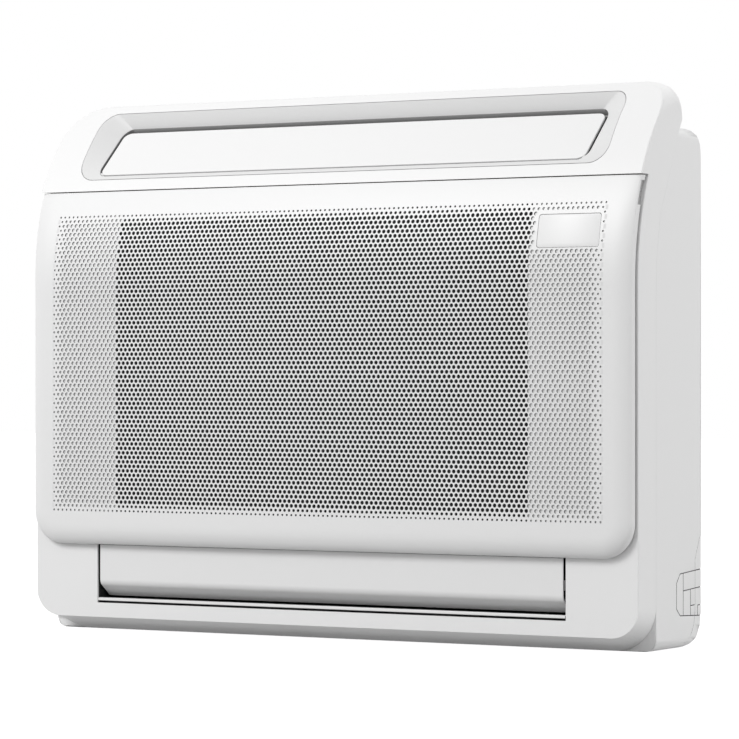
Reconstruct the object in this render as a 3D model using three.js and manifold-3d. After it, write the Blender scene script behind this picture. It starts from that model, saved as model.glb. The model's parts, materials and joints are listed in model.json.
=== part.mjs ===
// Floor standing air conditioner: a low console cabinet that draws room air in through a perforated
// front panel and blows it out above and below. Millimetres, +Z up, the front looks along -Y.
// Inside the functions Y counts back from the front plane; the last group moves it to the middle.
import * as THREE from "three";
import { mergeVertices } from "three/addons/utils/BufferGeometryUtils.js";
import Module from "manifold-3d";

const wasm = await Module();
wasm.setup();

// ---------- driving dimensions ----------
const width = 794;
const depth = 200;
const height = 621;
const gap = 0.4; // between pieces that seat on each other
const wall = 2.5; // moulded casing wall
const sheet = 2; // rear casing wall

// side profile of the front
const leanDrop = 224; // the front leans back over this much of the top
const leanRadius = 285;
const panelDepth = 17; // how far the panel stands in front of the casing face
const seatGap = 0.8; // panel rim to casing face
const bandDepth = 60; // casing front plane to the rear edge of its side band
const hoodBack = 131; // rear of the hood
const hoodTopRadius = 14;
const topCorner = 38; // hood corners seen from the front
const edgeRadius = 4; // hood front to its side
const underRise = 16.6; // underside climbs this much from the band's rear edge to the face
const faceCorner = 33;
const footCorner = 48;

// front panel
const panelBottom = 102;
const panelTopDrop = 107; // seam under the hood, below the top
const panelHalf = 394.5;
const panelWall = 2.5;
const panelCorner = 38;
const panelRound = 23; // width of the rounded border
const panelDrop = 13.5; // how far the rounded border falls back
const fieldInset = 34.5; // plain border beside the holes
const holeFieldHalf = panelHalf - fieldInset;
const holeFieldBottom = 140;
const holeFieldTopDrop = 135;
const holePitch = 52;
const holeSize = 36; // across the corners of a six-sided hole
const windowWidth = 75;
const windowInset = 4; // from the end of the field of holes
const windowLeft = holeFieldHalf - windowInset - windowWidth;
const windowTopDrop = 148;
const windowHeight = 36;
const hingeInset = 6.5; // from where the lower corners begin
const hingePin = 1;

// outlets
const upperHalf = 350;
const upperBottomDrop = 92.6;
const upperTopDrop = 10;
const upperCorner = 22;
const flapHalf = 326;
const flapWall = 3;
const flapLowY = 38;
const flapLowDrop = 86;
const flapHighY = 92;
const flapHighDrop = 34;
const lowerHalf = 309.3;
const lowerBottom = 33.4;
const lowerTop = 103;
const floorTop = 38.4; // lip of the lower duct
const ductWall = 2.4;
const louverEnd = 3.4; // free space at each end of the louver
const louverAxisY = 41;
const louverAxisZ = 72;
const trunnion = 2.5;
const vaneCount = 8;
const vaneSpacing = 78;
const vaneWall = 1.6;
const vaneHeight = 24;
const vaneLength = 26;

// intake and inner parts
const intakeHalf = 272;
const intakeBottom = 136;
const intakeTopDrop = 131;
const filterWall = 3;
const coilHalf = 262;
const coilFront = 47;
const coilDepth = 24;
const coilTopDrop = 121;
const finCount = 26;
const suctionShare = 158 / 393.6; // heights of the pipes as shares of the coil's height
const liquidShare = 88 / 393.6;
const panBottom = 104;
const panWall = 2;
const plateY = 80; // bell mouth plate
const fanZ = 306;
const fanRadius = 165;
const eyeRadius = 121;
const bladeCount = 7;
const motorRadius = 46;
const shaftRadius = 4;
const ductHalf = 332;
const boxLeft = 300;
const boxWidth = 82;

// rear casing
const rearDepth = 171;
const rearTopDrop = 50;
const rearCorner = 12;
const rearLowRadius = 38;
const webReach = 54; // closes the lower corners behind the side bands
const rearHighRadius = 28;
const backHalf = 370;
const seamY = 156.5;
const knockoutLine = 1;
const knockoutDepth = 0.9;

// ---------- places that follow ----------
const half = width / 2;
const bendHeight = height - leanDrop;
const hingeSpread = Math.min(panelHalf - panelCorner, half - faceCorner) - hingeInset;
const rearTop = height - rearTopDrop;
const panelTop = height - panelTopDrop;
const hoodFoot = panelTop + 1.3;
const coilBottom = panBottom + panWall + gap;
const upperBottom = height - upperBottomDrop;
const upperTop = height - upperTopDrop;
const intakeTop = height - intakeTopDrop;
const coilTop = height - coilTopDrop;
const coilHeight = coilTop - coilBottom;
const holeFieldTop = height - holeFieldTopDrop;
const windowTop = height - windowTopDrop;
const faceY = panelDepth + seatGap;
const flapLowZ = height - flapLowDrop;
const flapHighZ = height - flapHighDrop;

// Rows of holes in the panel, and the heights midway between them where the leaning front is creased.
const rowStep = holePitch * Math.sin(Math.PI / 3);
const rowCount = Math.floor((holeFieldTop - holeFieldBottom - holeSize) / rowStep) + 1;
const rowStart = (holeFieldBottom + holeFieldTop - (rowCount - 1) * rowStep) / 2;
const creases = Array.from({ length: rowCount + 4 }, (_, row) => rowStart + (row - 0.5) * rowStep)
  .filter((z) => z > bendHeight - rowStep && z < height);

// How far the front has leaned back at height z: points on an arc, joined by straight runs.
const arcLean = (z) => {
  const rise = Math.min(Math.max(z - bendHeight, 0), leanRadius);
  return leanRadius - Math.sqrt(leanRadius ** 2 - rise ** 2);
};
const lean = (z) => {
  const i = creases.findIndex((crease) => crease > z);
  if (z <= creases[0] || i < 1 || z > hoodFoot) return arcLean(z);
  const [low, high] = [creases[i - 1], Math.min(creases[i], hoodFoot)];
  return arcLean(low) + ((z - low) / (high - low)) * (arcLean(high) - arcLean(low));
};
// Heights from z0 to z1 with every crease between them.
const heights = (z0, z1) => [z0, ...creases.filter((z) => z > z0 + 0.5 && z < z1 - 0.5 && z < hoodFoot), z1];

// ---------- solids ----------
const solidOf = (geometry) => {
  const bare = geometry.index ? geometry.toNonIndexed() : geometry.clone();
  bare.deleteAttribute("normal");
  bare.deleteAttribute("uv");
  const merged = mergeVertices(bare, 1e-4);
  const mesh = new wasm.Mesh({
    numProp: 3,
    vertProperties: merged.attributes.position.array,
    triVerts: new Uint32Array(merged.index.array),
  });
  return new wasm.Manifold(mesh);
};

const geometryOf = (solid) => {
  const mesh = solid.getMesh();
  const geometry = new THREE.BufferGeometry();
  const points = new Float32Array(mesh.vertProperties);
  geometry.setAttribute("position", new THREE.BufferAttribute(points, 3));
  geometry.setIndex(new THREE.BufferAttribute(new Uint32Array(mesh.triVerts), 1));
  geometry.computeVertexNormals();
  return geometry;
};

const join = (...solids) => solids.reduce((a, b) => a.add(b));
const cut = (solid, ...tools) => tools.reduce((a, b) => a.subtract(b), solid);

const block = (x0, x1, y0, y1, z0, z1) => {
  const box = new THREE.BoxGeometry(x1 - x0, y1 - y0, z1 - z0);
  box.translate((x0 + x1) / 2, (y0 + y1) / 2, (z0 + z1) / 2);
  return solidOf(box);
};

const shapeOf = (points) => new THREE.Shape(points.map(([a, b]) => new THREE.Vector2(a, b)));
const extrude = (shape, length) =>
  new THREE.ExtrudeGeometry(shape, { depth: length, bevelEnabled: false, curveSegments: 2 });

// A side profile [y, z] swept along X.
const alongX = (shape, x0, x1) => {
  const turn = new THREE.Matrix4().set(0, 0, 1, x0, 1, 0, 0, 0, 0, 1, 0, 0, 0, 0, 0, 1);
  return solidOf(extrude(shape, x1 - x0).applyMatrix4(turn));
};

// A front outline [x, z] swept along Y.
const alongY = (shape, y0, y1) => {
  const turn = new THREE.Matrix4().set(1, 0, 0, 0, 0, 0, -1, y1, 0, 1, 0, 0, 0, 0, 0, 1);
  return solidOf(extrude(shape, y1 - y0).applyMatrix4(turn));
};

// A plan outline [x, y] swept along Z.
const alongZ = (shape, z0, z1) => solidOf(extrude(shape, z1 - z0).translate(0, 0, z0));

const roundedRect = (x0, x1, z0, z1, r) => {
  const shape = new THREE.Shape();
  shape.moveTo(x0 + r, z0);
  shape.lineTo(x1 - r, z0);
  shape.absarc(x1 - r, z0 + r, r, -Math.PI / 2, 0);
  shape.lineTo(x1, z1 - r);
  shape.absarc(x1 - r, z1 - r, r, 0, Math.PI / 2);
  shape.lineTo(x0 + r, z1);
  shape.absarc(x0 + r, z1 - r, r, Math.PI / 2, Math.PI);
  shape.lineTo(x0, z0 + r);
  shape.absarc(x0 + r, z0 + r, r, Math.PI, Math.PI * 1.5);
  return shape;
};

// A closed profile [radius, y] turned round an axis that runs back through (x, z).
const turned = (profile, x, z, segments = 24) => {
  const points = profile.map(([r, y]) => new THREE.Vector2(r, y));
  if (THREE.ShapeUtils.area(points) < 0) points.reverse();
  const closed = [...points, points[0]];
  const lathe = new THREE.LatheGeometry(closed, segments);
  return solidOf(lathe.translate(x, 0, z));
};

// A rod along X.
const rodX = (r, x0, x1, y, z, sides = 10) => {
  const rod = new THREE.CylinderGeometry(r, r, x1 - x0, sides);
  rod.rotateZ(Math.PI / 2);
  return solidOf(rod.translate((x0 + x1) / 2, y, z));
};

// Closed rings [a, b] at rising s, skinned and capped; each runs anticlockwise seen from the far end.
const loft = (stations, place) => {
  const count = stations[0].ring.length;
  const points = stations.flatMap(({ x, ring }) => ring.flatMap(([a, b]) => place(x, a, b)));
  const faces = [];
  for (let s = 0; s < stations.length - 1; s++)
    for (let i = 0; i < count; i++) {
      const a = s * count + i;
      const b = s * count + ((i + 1) % count);
      faces.push(a, b, b + count, a, b + count, a + count);
    }
  const cap = ({ ring }) => {
    const outline = ring.map(([a, b]) => new THREE.Vector2(a, b));
    return THREE.ShapeUtils.triangulateShape(outline, []);
  };
  for (const [a, b, c] of cap(stations[0])) faces.push(a, c, b);
  const last = (stations.length - 1) * count;
  for (const [a, b, c] of cap(stations.at(-1))) faces.push(last + a, last + b, last + c);
  const geometry = new THREE.BufferGeometry();
  geometry.setAttribute("position", new THREE.Float32BufferAttribute(points, 3));
  geometry.setIndex(faces);
  return solidOf(geometry);
};
const loftX = (stations) => loft(stations, (s, a, b) => [s, a, b]);

const tube = (points, radius, steps, sides = 8) => {
  const curve = new THREE.CatmullRomCurve3(points.map((p) => new THREE.Vector3(...p)));
  const section = new THREE.Shape();
  section.absarc(0, 0, radius, 0, Math.PI * 2);
  const geometry = new THREE.ExtrudeGeometry(section, {
    steps,
    extrudePath: curve,
    curveSegments: Math.ceil(sides / 2),
    bevelEnabled: false,
  });
  return solidOf(geometry);
};

// How far a round corner of radius r has bitten in at distance d from where it starts.
const bite = (d, r) => (d <= 0 ? 0 : r - Math.sqrt(Math.max(r * r - d * d, 0)));
const mirrored = (list) => [...list.map((x) => -x).reverse(), ...list];

// ---------- front casing ----------
// Side section of the casing at |x|, shrunk by t. t = 0 is the outside; a shrunk section is open behind.
const casingRing = (x, t) => {
  const side = half - t;
  const top = height - t - bite(x - (side - (topCorner - t)), topCorner - t);
  const edge = bite(x - (side - edgeRadius), edgeRadius);
  const low = underRise + t + bite(x - (side - (faceCorner - t)), faceCorner - t);
  const foot = t + bite(x - (side - (footCorner - t)), footCorner - t);
  const front = t + edge;
  const shoulder = top - 9;
  const leaned = [0, 0.25, 0.5, 0.75, 1].map((s) => hoodFoot + t + s * (shoulder - hoodFoot - t));
  const behind = heights(creases[0], hoodFoot + t);
  const turnBack = [0.45, 0.8, 1].map((s) => [
    arcLean(shoulder) + front + hoodTopRadius * s,
    top - (top - shoulder) * (1 - s) ** 2,
  ]);
  const rise = rearTop + gap;
  const backs = heights(creases[0], rise).reverse().concat(creases[0] - 20);
  const open = rearDepth + 40;
  const rear = t
    ? [[arcLean(rise) + bandDepth - t, rise], [open, rise], [open, foot]]
    : [...backs.map((z) => [lean(z) + bandDepth, z]), [bandDepth, foot]];
  return [
    [faceY + front, low],
    ...behind.map((z) => [lean(z) + faceY + front, z]),
    ...leaned.map((z) => [arcLean(z) + front, z]),
    ...turnBack,
    [hoodBack - 12, top],
    [hoodBack - t, Math.min(top - 5, height - 17)],
    [hoodBack - t, Math.min(top - 10, height - 29)],
    ...rear,
  ].reverse();
};

const casingStations = (t) => {
  const side = half - t;
  const list = [footCorner, topCorner, 22, 10, edgeRadius, 1.3, 0].map((d) => side - d);
  return mirrored(list).map((x) => ({ x, ring: casingRing(Math.abs(x), t) }));
};

const bezelOutline = (inset) =>
  roundedRect(
    -upperHalf + inset,
    upperHalf - inset,
    upperBottom + inset,
    upperTop - inset,
    upperCorner - inset / 2,
  );

const makeFrontCasing = () => {
  const shell = cut(loftX(casingStations(0)), loftX(casingStations(wall)));
  const intake = block(-intakeHalf, intakeHalf, 0, bandDepth, intakeBottom, intakeTop);
  const lower = block(-lowerHalf, lowerHalf, 0, louverAxisY, lowerBottom, lowerTop);
  const upper = alongY(bezelOutline(0), 0, hoodBack - 14);
  let casing = cut(shell, intake, lower, upper);
  for (const side of [-1, 1]) {
    for (const off of [-7, 7]) casing = join(casing, hingeEar(side * (hingeSpread + off)));
  }
  return casing;
};

// ---------- panel hinge ----------
const hingeY = panelDepth - 1.8;
const hingeZ = panelBottom + 2.2;
const earHalf = 1.6;
const earRadius = 2;
const hingeEar = (x) => {
  const ear = new THREE.Shape();
  ear.moveTo(faceY + 0.5, hingeZ - earRadius);
  ear.lineTo(faceY + 0.5, hingeZ + earRadius);
  ear.lineTo(hingeY, hingeZ + earRadius);
  ear.absarc(hingeY, hingeZ, earRadius, Math.PI / 2, Math.PI * 1.5);
  const bore = rodX(hingePin + 0.45, x - 5, x + 5, hingeY, hingeZ, 10);
  return cut(alongX(ear, x - earHalf, x + earHalf), bore);
};

// ---------- front panel ----------
// The panel's outline at height z: its half width, with the round lower corners.
const panelHalfAt = (z, inset) => {
  const r = panelCorner - inset;
  return panelHalf - inset - bite(panelBottom + inset + r - z, r);
};
// How far the rounded border has fallen back at distance d inside the outline.
const borderDrop = (d) => {
  const s = Math.max(1 - d / panelRound, 0);
  return panelDrop * (1 - Math.sqrt(1 - s * s));
};
const panelSkin = (inset, back) => {
  const bottom = panelBottom + inset;
  const top = panelTop - inset;
  const rise = [0, 1, 4, 10, 20, 36].map((d) => bottom + d);
  const rows = [...rise, ...heights(creases[0], top)];
  const steps = [0, 1, 4, 10, 24];
  const ring = (z, y) => {
    const side = panelHalfAt(z, inset);
    const low = z - bottom;
    return mirrored(steps.map((d) => side - d).reverse()).map((x) => {
      const d = Math.min(side - Math.abs(x), low + (panelHalf - side) * 0.15);
      return [x, y === null ? lean(z) + inset + borderDrop(d) : lean(z) + y, z];
    });
  };
  const points = [...rows.flatMap((z) => ring(z, null)), ...rows.flatMap((z) => ring(z, back))];
  const n = steps.length * 2;
  const m = rows.length;
  const faces = [];
  const quad = (a, b, c, d) => faces.push(a, b, c, a, c, d);
  for (let r = 0; r < m - 1; r++)
    for (let i = 0; i < n - 1; i++) {
      const a = r * n + i;
      quad(a, a + 1, a + n + 1, a + n);
      const e = a + m * n;
      quad(e + 1, e, e + n, e + n + 1);
    }
  for (let i = 0; i < n - 1; i++) {
    quad(m * n + i, m * n + i + 1, i + 1, i);
    const t = (m - 1) * n + i;
    quad(t, t + 1, t + 1 + m * n, t + m * n);
  }
  for (let r = 0; r < m - 1; r++) {
    const a = r * n;
    quad(a, a + n, a + n + m * n, a + m * n);
    const e = a + n - 1;
    quad(e + m * n, e + n + m * n, e + n, e);
  }
  const geometry = new THREE.BufferGeometry();
  geometry.setAttribute("position", new THREE.Float32BufferAttribute(points.flat(), 3));
  geometry.setIndex(faces);
  return solidOf(geometry);
};

// Side profile between two depths behind the leaning front, from z0 to z1.
const leanStrip = (near, far, z0, z1) => {
  const zs = heights(z0, z1);
  return shapeOf([...zs.map((z) => [lean(z) + near, z]), ...zs.reverse().map((z) => [lean(z) + far, z])]);
};

// The same behind the hood, where the arc is followed closely.
const arcStrip = (near, far, z0, z1) => {
  const zs = Array.from({ length: 7 }, (_, i) => z0 + ((z1 - z0) * i) / 6);
  const front = zs.map((z) => [arcLean(z) + near, z]);
  return shapeOf([...front, ...zs.reverse().map((z) => [arcLean(z) + far, z])]);
};

const windowRect = (grow) => ({
  x0: windowLeft - grow,
  x1: windowLeft + windowWidth + grow,
  z0: windowTop - windowHeight - grow,
  z1: windowTop + grow,
});

// Six-sided holes in a staggered lattice, left out where the window plate sits.
const holeTool = () => {
  const { x0, x1, z0, z1 } = windowRect(holeSize * 0.62);
  const pins = [];
  for (let row = 0; row < rowCount; row++) {
    const z = rowStart + row * rowStep;
    const shift = row % 2 ? holePitch / 2 : 0;
    const across = 2 * Math.floor((holeFieldHalf - holeSize / 2 - shift) / holePitch) + (shift ? 1 : 0);
    for (let i = 0; i <= across; i++) {
      const x = (i - across / 2) * holePitch;
      if (x > x0 && x < x1 && z > z0 && z < z1) continue;
      const hole = new THREE.CylinderGeometry(holeSize / 2, holeSize / 2, 4 * panelDepth, 6);
      pins.push(solidOf(hole.translate(x, panelDepth, z)));
    }
  }
  return wasm.Manifold.union(pins);
};

const catchLength = 26;
const catchHigh = panelTop - 6;
const catchNear = 8.5;
const catchInset = 9;
const catchProfile = (grow) =>
  leanStrip(catchNear - grow, panelDepth - 1 + grow * 4, catchHigh - catchLength - grow, catchHigh + grow);

const makePanel = () => {
  let panel = cut(panelSkin(0, panelDepth), panelSkin(panelWall, panelDepth + 10));
  const { x0, x1, z0, z1 } = windowRect(gap);
  panel = cut(panel, holeTool(), block(x0, x1, -1, panelDepth, z0, z1));
  for (const px of [x0 - 3, x1 + 3])
    for (const pz of [z0 + 6, z1 - 6]) {
      const [near, far] = [lean(pz) + 1, lean(pz) + 5.3];
      panel = join(panel, turned([[0, near], [2.4, near], [2.4, far], [0, far]], px, pz, 8));
    }
  // bottom rim: chamfered behind, opened for the casing's ears, with a knuckle and pins between them
  const relief = shapeOf([[hingeY + 0.8, panelBottom - 1], [faceY, panelBottom - 1], [faceY, hingeZ]]);
  panel = cut(panel, alongX(relief, -half, half));
  for (const side of [-1, 1]) {
    const x = side * hingeSpread;
    for (const off of [-7, 7]) {
      const [near, far] = [x + off - earHalf - gap, x + off + earHalf + gap];
      panel = cut(panel, block(near, far, hingeY - earRadius - gap, faceY, panelBottom - 1, hingeZ + 4));
    }
    const knuckle = rodX(earRadius, x - 5, x + 5, hingeY, hingeZ, 10);
    panel = join(panel, knuckle, rodX(hingePin, x - 8.4, x + 8.4, hingeY, hingeZ, 8));
    const notch = [side * (panelHalf - catchInset), side * (panelHalf + catchInset)];
    panel = cut(panel, alongX(catchProfile(gap), ...notch.sort((a, b) => a - b)));
  }
  return panel;
};

const makeCatch = (side) => {
  const outer = panelHalf - 2.5;
  const inner = panelHalf - 21;
  const bar = alongX(catchProfile(0), ...(side < 0 ? [-outer, -inner] : [inner, outer]));
  const grip = [0, 1, 2].map((i) => {
    const z = catchHigh - catchLength + 6 + i * 6;
    const x = side * (outer - 0.5);
    return block(Math.min(x, x + side * 2), Math.max(x, x + side * 2), 0, 60, z, z + 2);
  });
  return cut(bar, ...grip);
};

const makeWindow = () => {
  const { x0, x1, z0, z1 } = windowRect(0);
  return alongX(leanStrip(0.3, 2.2, z0, z1), x0, x1);
};

const makeDisplayBoard = () => {
  const { x0, x1, z0, z1 } = windowRect(0);
  return alongX(leanStrip(6 + gap, 7.6 + gap, z0 + 2, z1 - 2), x0 - 6, x1 + 6);
};

// ---------- upper outlet ----------
// Bezel: a rim seated in the hood, a wall over the flap, and sides that slope in to the duct's cheeks.
const bezelSide = (side) => {
  const zs = [6, 16, 28, 40].map((rise) => flapLowZ + rise).concat(flapHighZ, upperTop - 2);
  const outer = upperHalf - gap - 0.6;
  const inner = ductHalf + ductWall / 2 + gap;
  const stations = zs.map((z) => {
    const skin = arcLean(z) + 2;
    const s = (z - flapLowZ) / (flapHighZ - flapLowZ);
    const end = Math.max(s < 1 ? flapLowY + s * (flapHighY - flapLowY) : flapHighY + 3, skin + 1);
    const front = [[inner, end], [outer, skin]];
    const ring = [...front, [outer, skin + 3], [inner + 2.4, end + 2], [inner, end + 2]];
    return { x: z, ring: side > 0 ? ring : ring.map(([x, y]) => [-x, y]).reverse() };
  });
  return loft(stations, (s, a, b) => [a, b, s]);
};

const makeBezel = () => {
  const outer = alongY(bezelOutline(gap), 0, hoodBack - 16);
  const open = upperHalf - 3.4;
  const inner = alongY(roundedRect(-open, open, upperBottom + 1.5, upperTop - 3.4, 19), -1, depth);
  const skinPart = alongX(arcStrip(1, 4, upperBottom - 10, upperTop + 6), -half, half);
  const rim = cut(outer, inner).intersect(skinPart);
  const overY = flapHighY + 4;
  const over = block(-ductHalf - 5, ductHalf + 5, overY, overY + 2.4, flapHighZ - 0.4, upperTop - 2);
  return join(rim, over, bezelSide(1), bezelSide(-1)).intersect(outer);
};

// Outer face line of the flap in the side view.
const flapPoint = (s, off = 0) => {
  const dy = flapHighY - flapLowY;
  const dz = flapHighZ - flapLowZ;
  const len = Math.hypot(dy, dz);
  return [flapLowY + dy * s + (dz / len) * off, flapLowZ + dz * s - (dy / len) * off];
};
const flapAxis = flapPoint(0.045, 3.5);
const makeFlap = () => {
  const section = [flapPoint(0), flapPoint(1), flapPoint(1, flapWall), flapPoint(0, flapWall)];
  const plate = alongX(shapeOf(section), -flapHalf, flapHalf);
  const [y, z] = flapAxis;
  const arm = shapeOf([
    flapPoint(0.02, 2),
    [y - 1, z - trunnion],
    [y + trunnion, z - trunnion],
    [y + trunnion + 2, z],
    flapPoint(0.3, 2),
  ]);
  const parts = [plate];
  for (const x of [-flapHalf + 2.5, -flapHalf / 3, flapHalf / 3, flapHalf - 2.5])
    parts.push(alongX(arm, x - 2.5, x + 2.5));
  parts.push(rodX(trunnion, -ductHalf - 1.6, -flapHalf + 3, y, z));
  parts.push(rodX(trunnion, flapHalf - 3, upperHalf + 4, y, z));
  return join(...parts);
};

// The duct's floor line runs up and forward under the vanes; u counts along it, v up from it.
const floorStart = [plateY + 4, height - 112];
const floorEnd = [52, height - 96.5];
const floorRun = [floorEnd[0] - floorStart[0], floorEnd[1] - floorStart[1]];
const floorLength = Math.hypot(...floorRun);
const floorDir = floorRun.map((v) => v / floorLength);
const floorUp = [floorDir[1], -floorDir[0]];
const onFloor = (u, v) => [0, 1].map((i) => floorStart[i] + floorDir[i] * u + floorUp[i] * v);
const vanePivot = 16;
const vaneXs = Array.from({ length: vaneCount }, (_, i) => (i - (vaneCount - 1) / 2) * vaneSpacing);

const vanePin = (x, r, v0, v1) => {
  const pin = new THREE.CylinderGeometry(r, r, v1 - v0, 8);
  pin.rotateX(Math.atan2(floorUp[1], floorUp[0]));
  const [y, z] = onFloor(vanePivot, (v0 + v1) / 2);
  return solidOf(pin.translate(x, y, z));
};

const makeUpperDuct = () => {
  const t = ductWall;
  const floor = shapeOf([onFloor(-2, 0), onFloor(floorLength, 0), onFloor(floorLength, -t), onFloor(-2, -t)]);
  const ceiling = [
    [rearDepth - 8, height - 118],
    [rearDepth - 8, height - 80],
    [rearDepth - 30, height - 58],
    [120, height - 54.5],
    [104, height - 46],
    [98, height - 36.4],
  ];
  const back = shapeOf([...ceiling, ...ceiling.map(([y, z]) => [y - t * 0.7, z - t * 0.9]).reverse()]);
  const cheek = shapeOf([
    onFloor(-2, -t),
    onFloor(floorLength, -t),
    [floorEnd[0] - 5.5, upperBottom - 2],
    [floorEnd[0] - 6, upperBottom + 3.4],
    [flapLowY + 0.6, upperBottom + 3.6],
    flapPoint(0, 0),
    flapPoint(1, 0),
    ...ceiling.reverse(),
  ]);
  const reach = ductHalf - 0.5;
  const cheeks = [-1, 1].map((side) => {
    const x = side * ductHalf;
    return alongX(cheek, x - t / 2, x + t / 2);
  });
  let duct = join(alongX(floor, -reach, reach), alongX(back, -reach, reach), ...cheeks);
  const [y, z] = flapAxis;
  duct = cut(duct, rodX(trunnion + 0.6, -half, half, y, z));
  return cut(duct, ...vaneXs.map((x) => vanePin(x, 1.9, -8, 6)));
};

const makeVane = (x) => {
  const t = vaneWall / 2;
  const plate = shapeOf([
    onFloor(4, 2),
    onFloor(4 + vaneLength, 2),
    onFloor(4 + vaneLength, vaneHeight * 0.7),
    onFloor(4 + vaneLength * 0.5, vaneHeight),
    onFloor(4, vaneHeight),
  ]);
  return join(alongX(plate, x - t, x + t), vanePin(x, 1.4, -ductWall - 1, 4));
};

const makeLink = () => {
  const bar = shapeOf([onFloor(2.6, 11), onFloor(8, 11), onFloor(8, 14), onFloor(2.6, 14)]);
  const slots = vaneXs.map((x) => {
    const slot = shapeOf([onFloor(3.4, 9), onFloor(12, 9), onFloor(12, 16), onFloor(3.4, 16)]);
    return alongX(slot, x - 2.6, x + 2.6);
  });
  const end = vaneXs.at(-1) + 14;
  return cut(alongX(bar, -end, end), ...slots);
};

// ---------- lower outlet ----------
const louverHalf = lowerHalf - louverEnd;
const louverOuter = [
  [faceY + 0.4, lowerTop - 1.6],
  [faceY + 0.2, 82],
  [faceY + 0.6, 66],
  [faceY + 2.4, 56],
  [faceY + 6, 48],
  [faceY + 11.5, 42.8],
  [faceY + 18, 41.6],
];
const makeLouver = () => {
  const innerLine = louverOuter.map(([y, z], i) => {
    const [py, pz] = louverOuter[Math.max(i - 1, 0)];
    const [ny, nz] = louverOuter[Math.min(i + 1, louverOuter.length - 1)];
    const len = Math.hypot(ny - py, nz - pz);
    return [y - ((nz - pz) / len) * 2.4, z + ((ny - py) / len) * 2.4];
  });
  const blade = shapeOf([...louverOuter, ...innerLine.reverse()]);
  const arm = shapeOf([
    [faceY + 2, 78],
    [louverAxisY, louverAxisZ + 4],
    [louverAxisY + 4, louverAxisZ],
    [louverAxisY, louverAxisZ - 4],
    [faceY + 3.4, 60],
  ]);
  const parts = [alongX(blade, -louverHalf, louverHalf)];
  for (const side of [-1, 1]) {
    const x = side * (louverHalf - 1.5);
    parts.push(alongX(arm, x - 1.5, x + 1.5));
    const end = side * (lowerHalf + ductWall + 1.6);
    parts.push(rodX(trunnion, Math.min(x, end), Math.max(x, end), louverAxisY, louverAxisZ));
  }
  parts.push(alongX(arm, -2, 2));
  return join(...parts);
};

const makeLowerDuct = () => {
  const t = ductWall;
  const floorLine = [
    [faceY + wall + gap, floorTop],
    [96, floorTop],
    [128, 46],
    [152, 62],
    [166, 88],
    [168, 116],
  ];
  const outward = [[0, -1], [0.1, -1], [0.4, -0.9], [0.8, -0.6], [1, -0.2], [1, 0]];
  const under = floorLine.map(([y, z], i) => [y + t * outward[i][0], z + t * outward[i][1]]);
  const floor = shapeOf([...floorLine, ...under.reverse()]);
  const roofZ = panBottom - gap;
  const roof = shapeOf([[37, roofZ - t], [plateY + 6, roofZ - t], [plateY + 6, roofZ], [37, roofZ]]);
  const cheek = shapeOf([
    [faceY + wall + gap, floorTop - t],
    [96, floorTop - t],
    [128, 46 - t],
    [154, 62],
    [166, 88],
    [168, 116],
    [plateY + 6, 116],
    [plateY + 6, roofZ],
    [faceY + wall + gap, roofZ],
  ]);
  const cheeks = [-1, 1].map((side) => {
    const x = side * (lowerHalf + t / 2);
    return alongX(cheek, x - t / 2, x + t / 2);
  });
  const reach = lowerHalf + t / 2;
  const lip = block(-lowerHalf + gap, lowerHalf - gap, faceY + 0.3, faceY + wall + 4, floorTop - t, floorTop);
  const duct = join(alongX(floor, -reach, reach), alongX(roof, -reach, reach), ...cheeks, lip);
  return cut(duct, rodX(trunnion + 0.6, -half, half, louverAxisY, louverAxisZ));
};

// ---------- motors of the flap and the louver ----------
// The shaft stands off the middle of the can, as on a geared stepper.
const makeStepper = (x, y, z) => {
  const can = rodX(11, x, x + 14, y + 8, z - 3, 14);
  const ears = block(x, x + 2, y + 4, y + 12, z - 17, z + 13);
  const bore = rodX(trunnion + 0.5, x - 1, x + 6, y, z);
  return cut(join(can, ears), bore);
};

// ---------- air filters ----------
const makeFilter = (side) => {
  const near = faceY + wall + gap;
  const z0 = intakeBottom - 4;
  const z1 = intakeTop + 4;
  const inner = side * 1.2;
  const outer = side * (intakeHalf + 5);
  const [x0, x1] = inner < outer ? [inner, outer] : [outer, inner];
  const columns = 3;
  const rows = 4;
  const rim = 8;
  const bar = 2.4;
  const cellX = (x1 - x0 - 2 * rim - (columns - 1) * bar) / columns;
  const cellZ = (z1 - z0 - 2 * rim - (rows - 1) * bar) / rows;
  const cells = [];
  for (let i = 0; i < columns; i++)
    for (let j = 0; j < rows; j++) {
      const x = x0 + rim + i * (cellX + bar);
      const z = z0 + rim + j * (cellZ + bar);
      cells.push(block(x, x + cellX, 0, 80, z, z + cellZ));
    }
  return cut(alongX(leanStrip(near, near + filterWall, z0, z1), x0, x1), ...cells);
};

// ---------- heat exchanger ----------
const coilBack = coilFront + coilDepth;
const makeFins = () => {
  const pitch = (2 * coilHalf) / finCount;
  const comb = [];
  for (let i = 0; i < finCount; i++) {
    const x = -coilHalf + i * pitch;
    comb.push([x, coilFront], [x + pitch * 0.55, coilFront], [x + pitch * 0.55, coilFront + 9]);
    comb.push([x + pitch, coilFront + 9]);
  }
  comb.push([coilHalf, coilBack], [-coilHalf, coilBack]);
  return alongZ(shapeOf(comb), coilBottom, coilTop);
};

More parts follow.
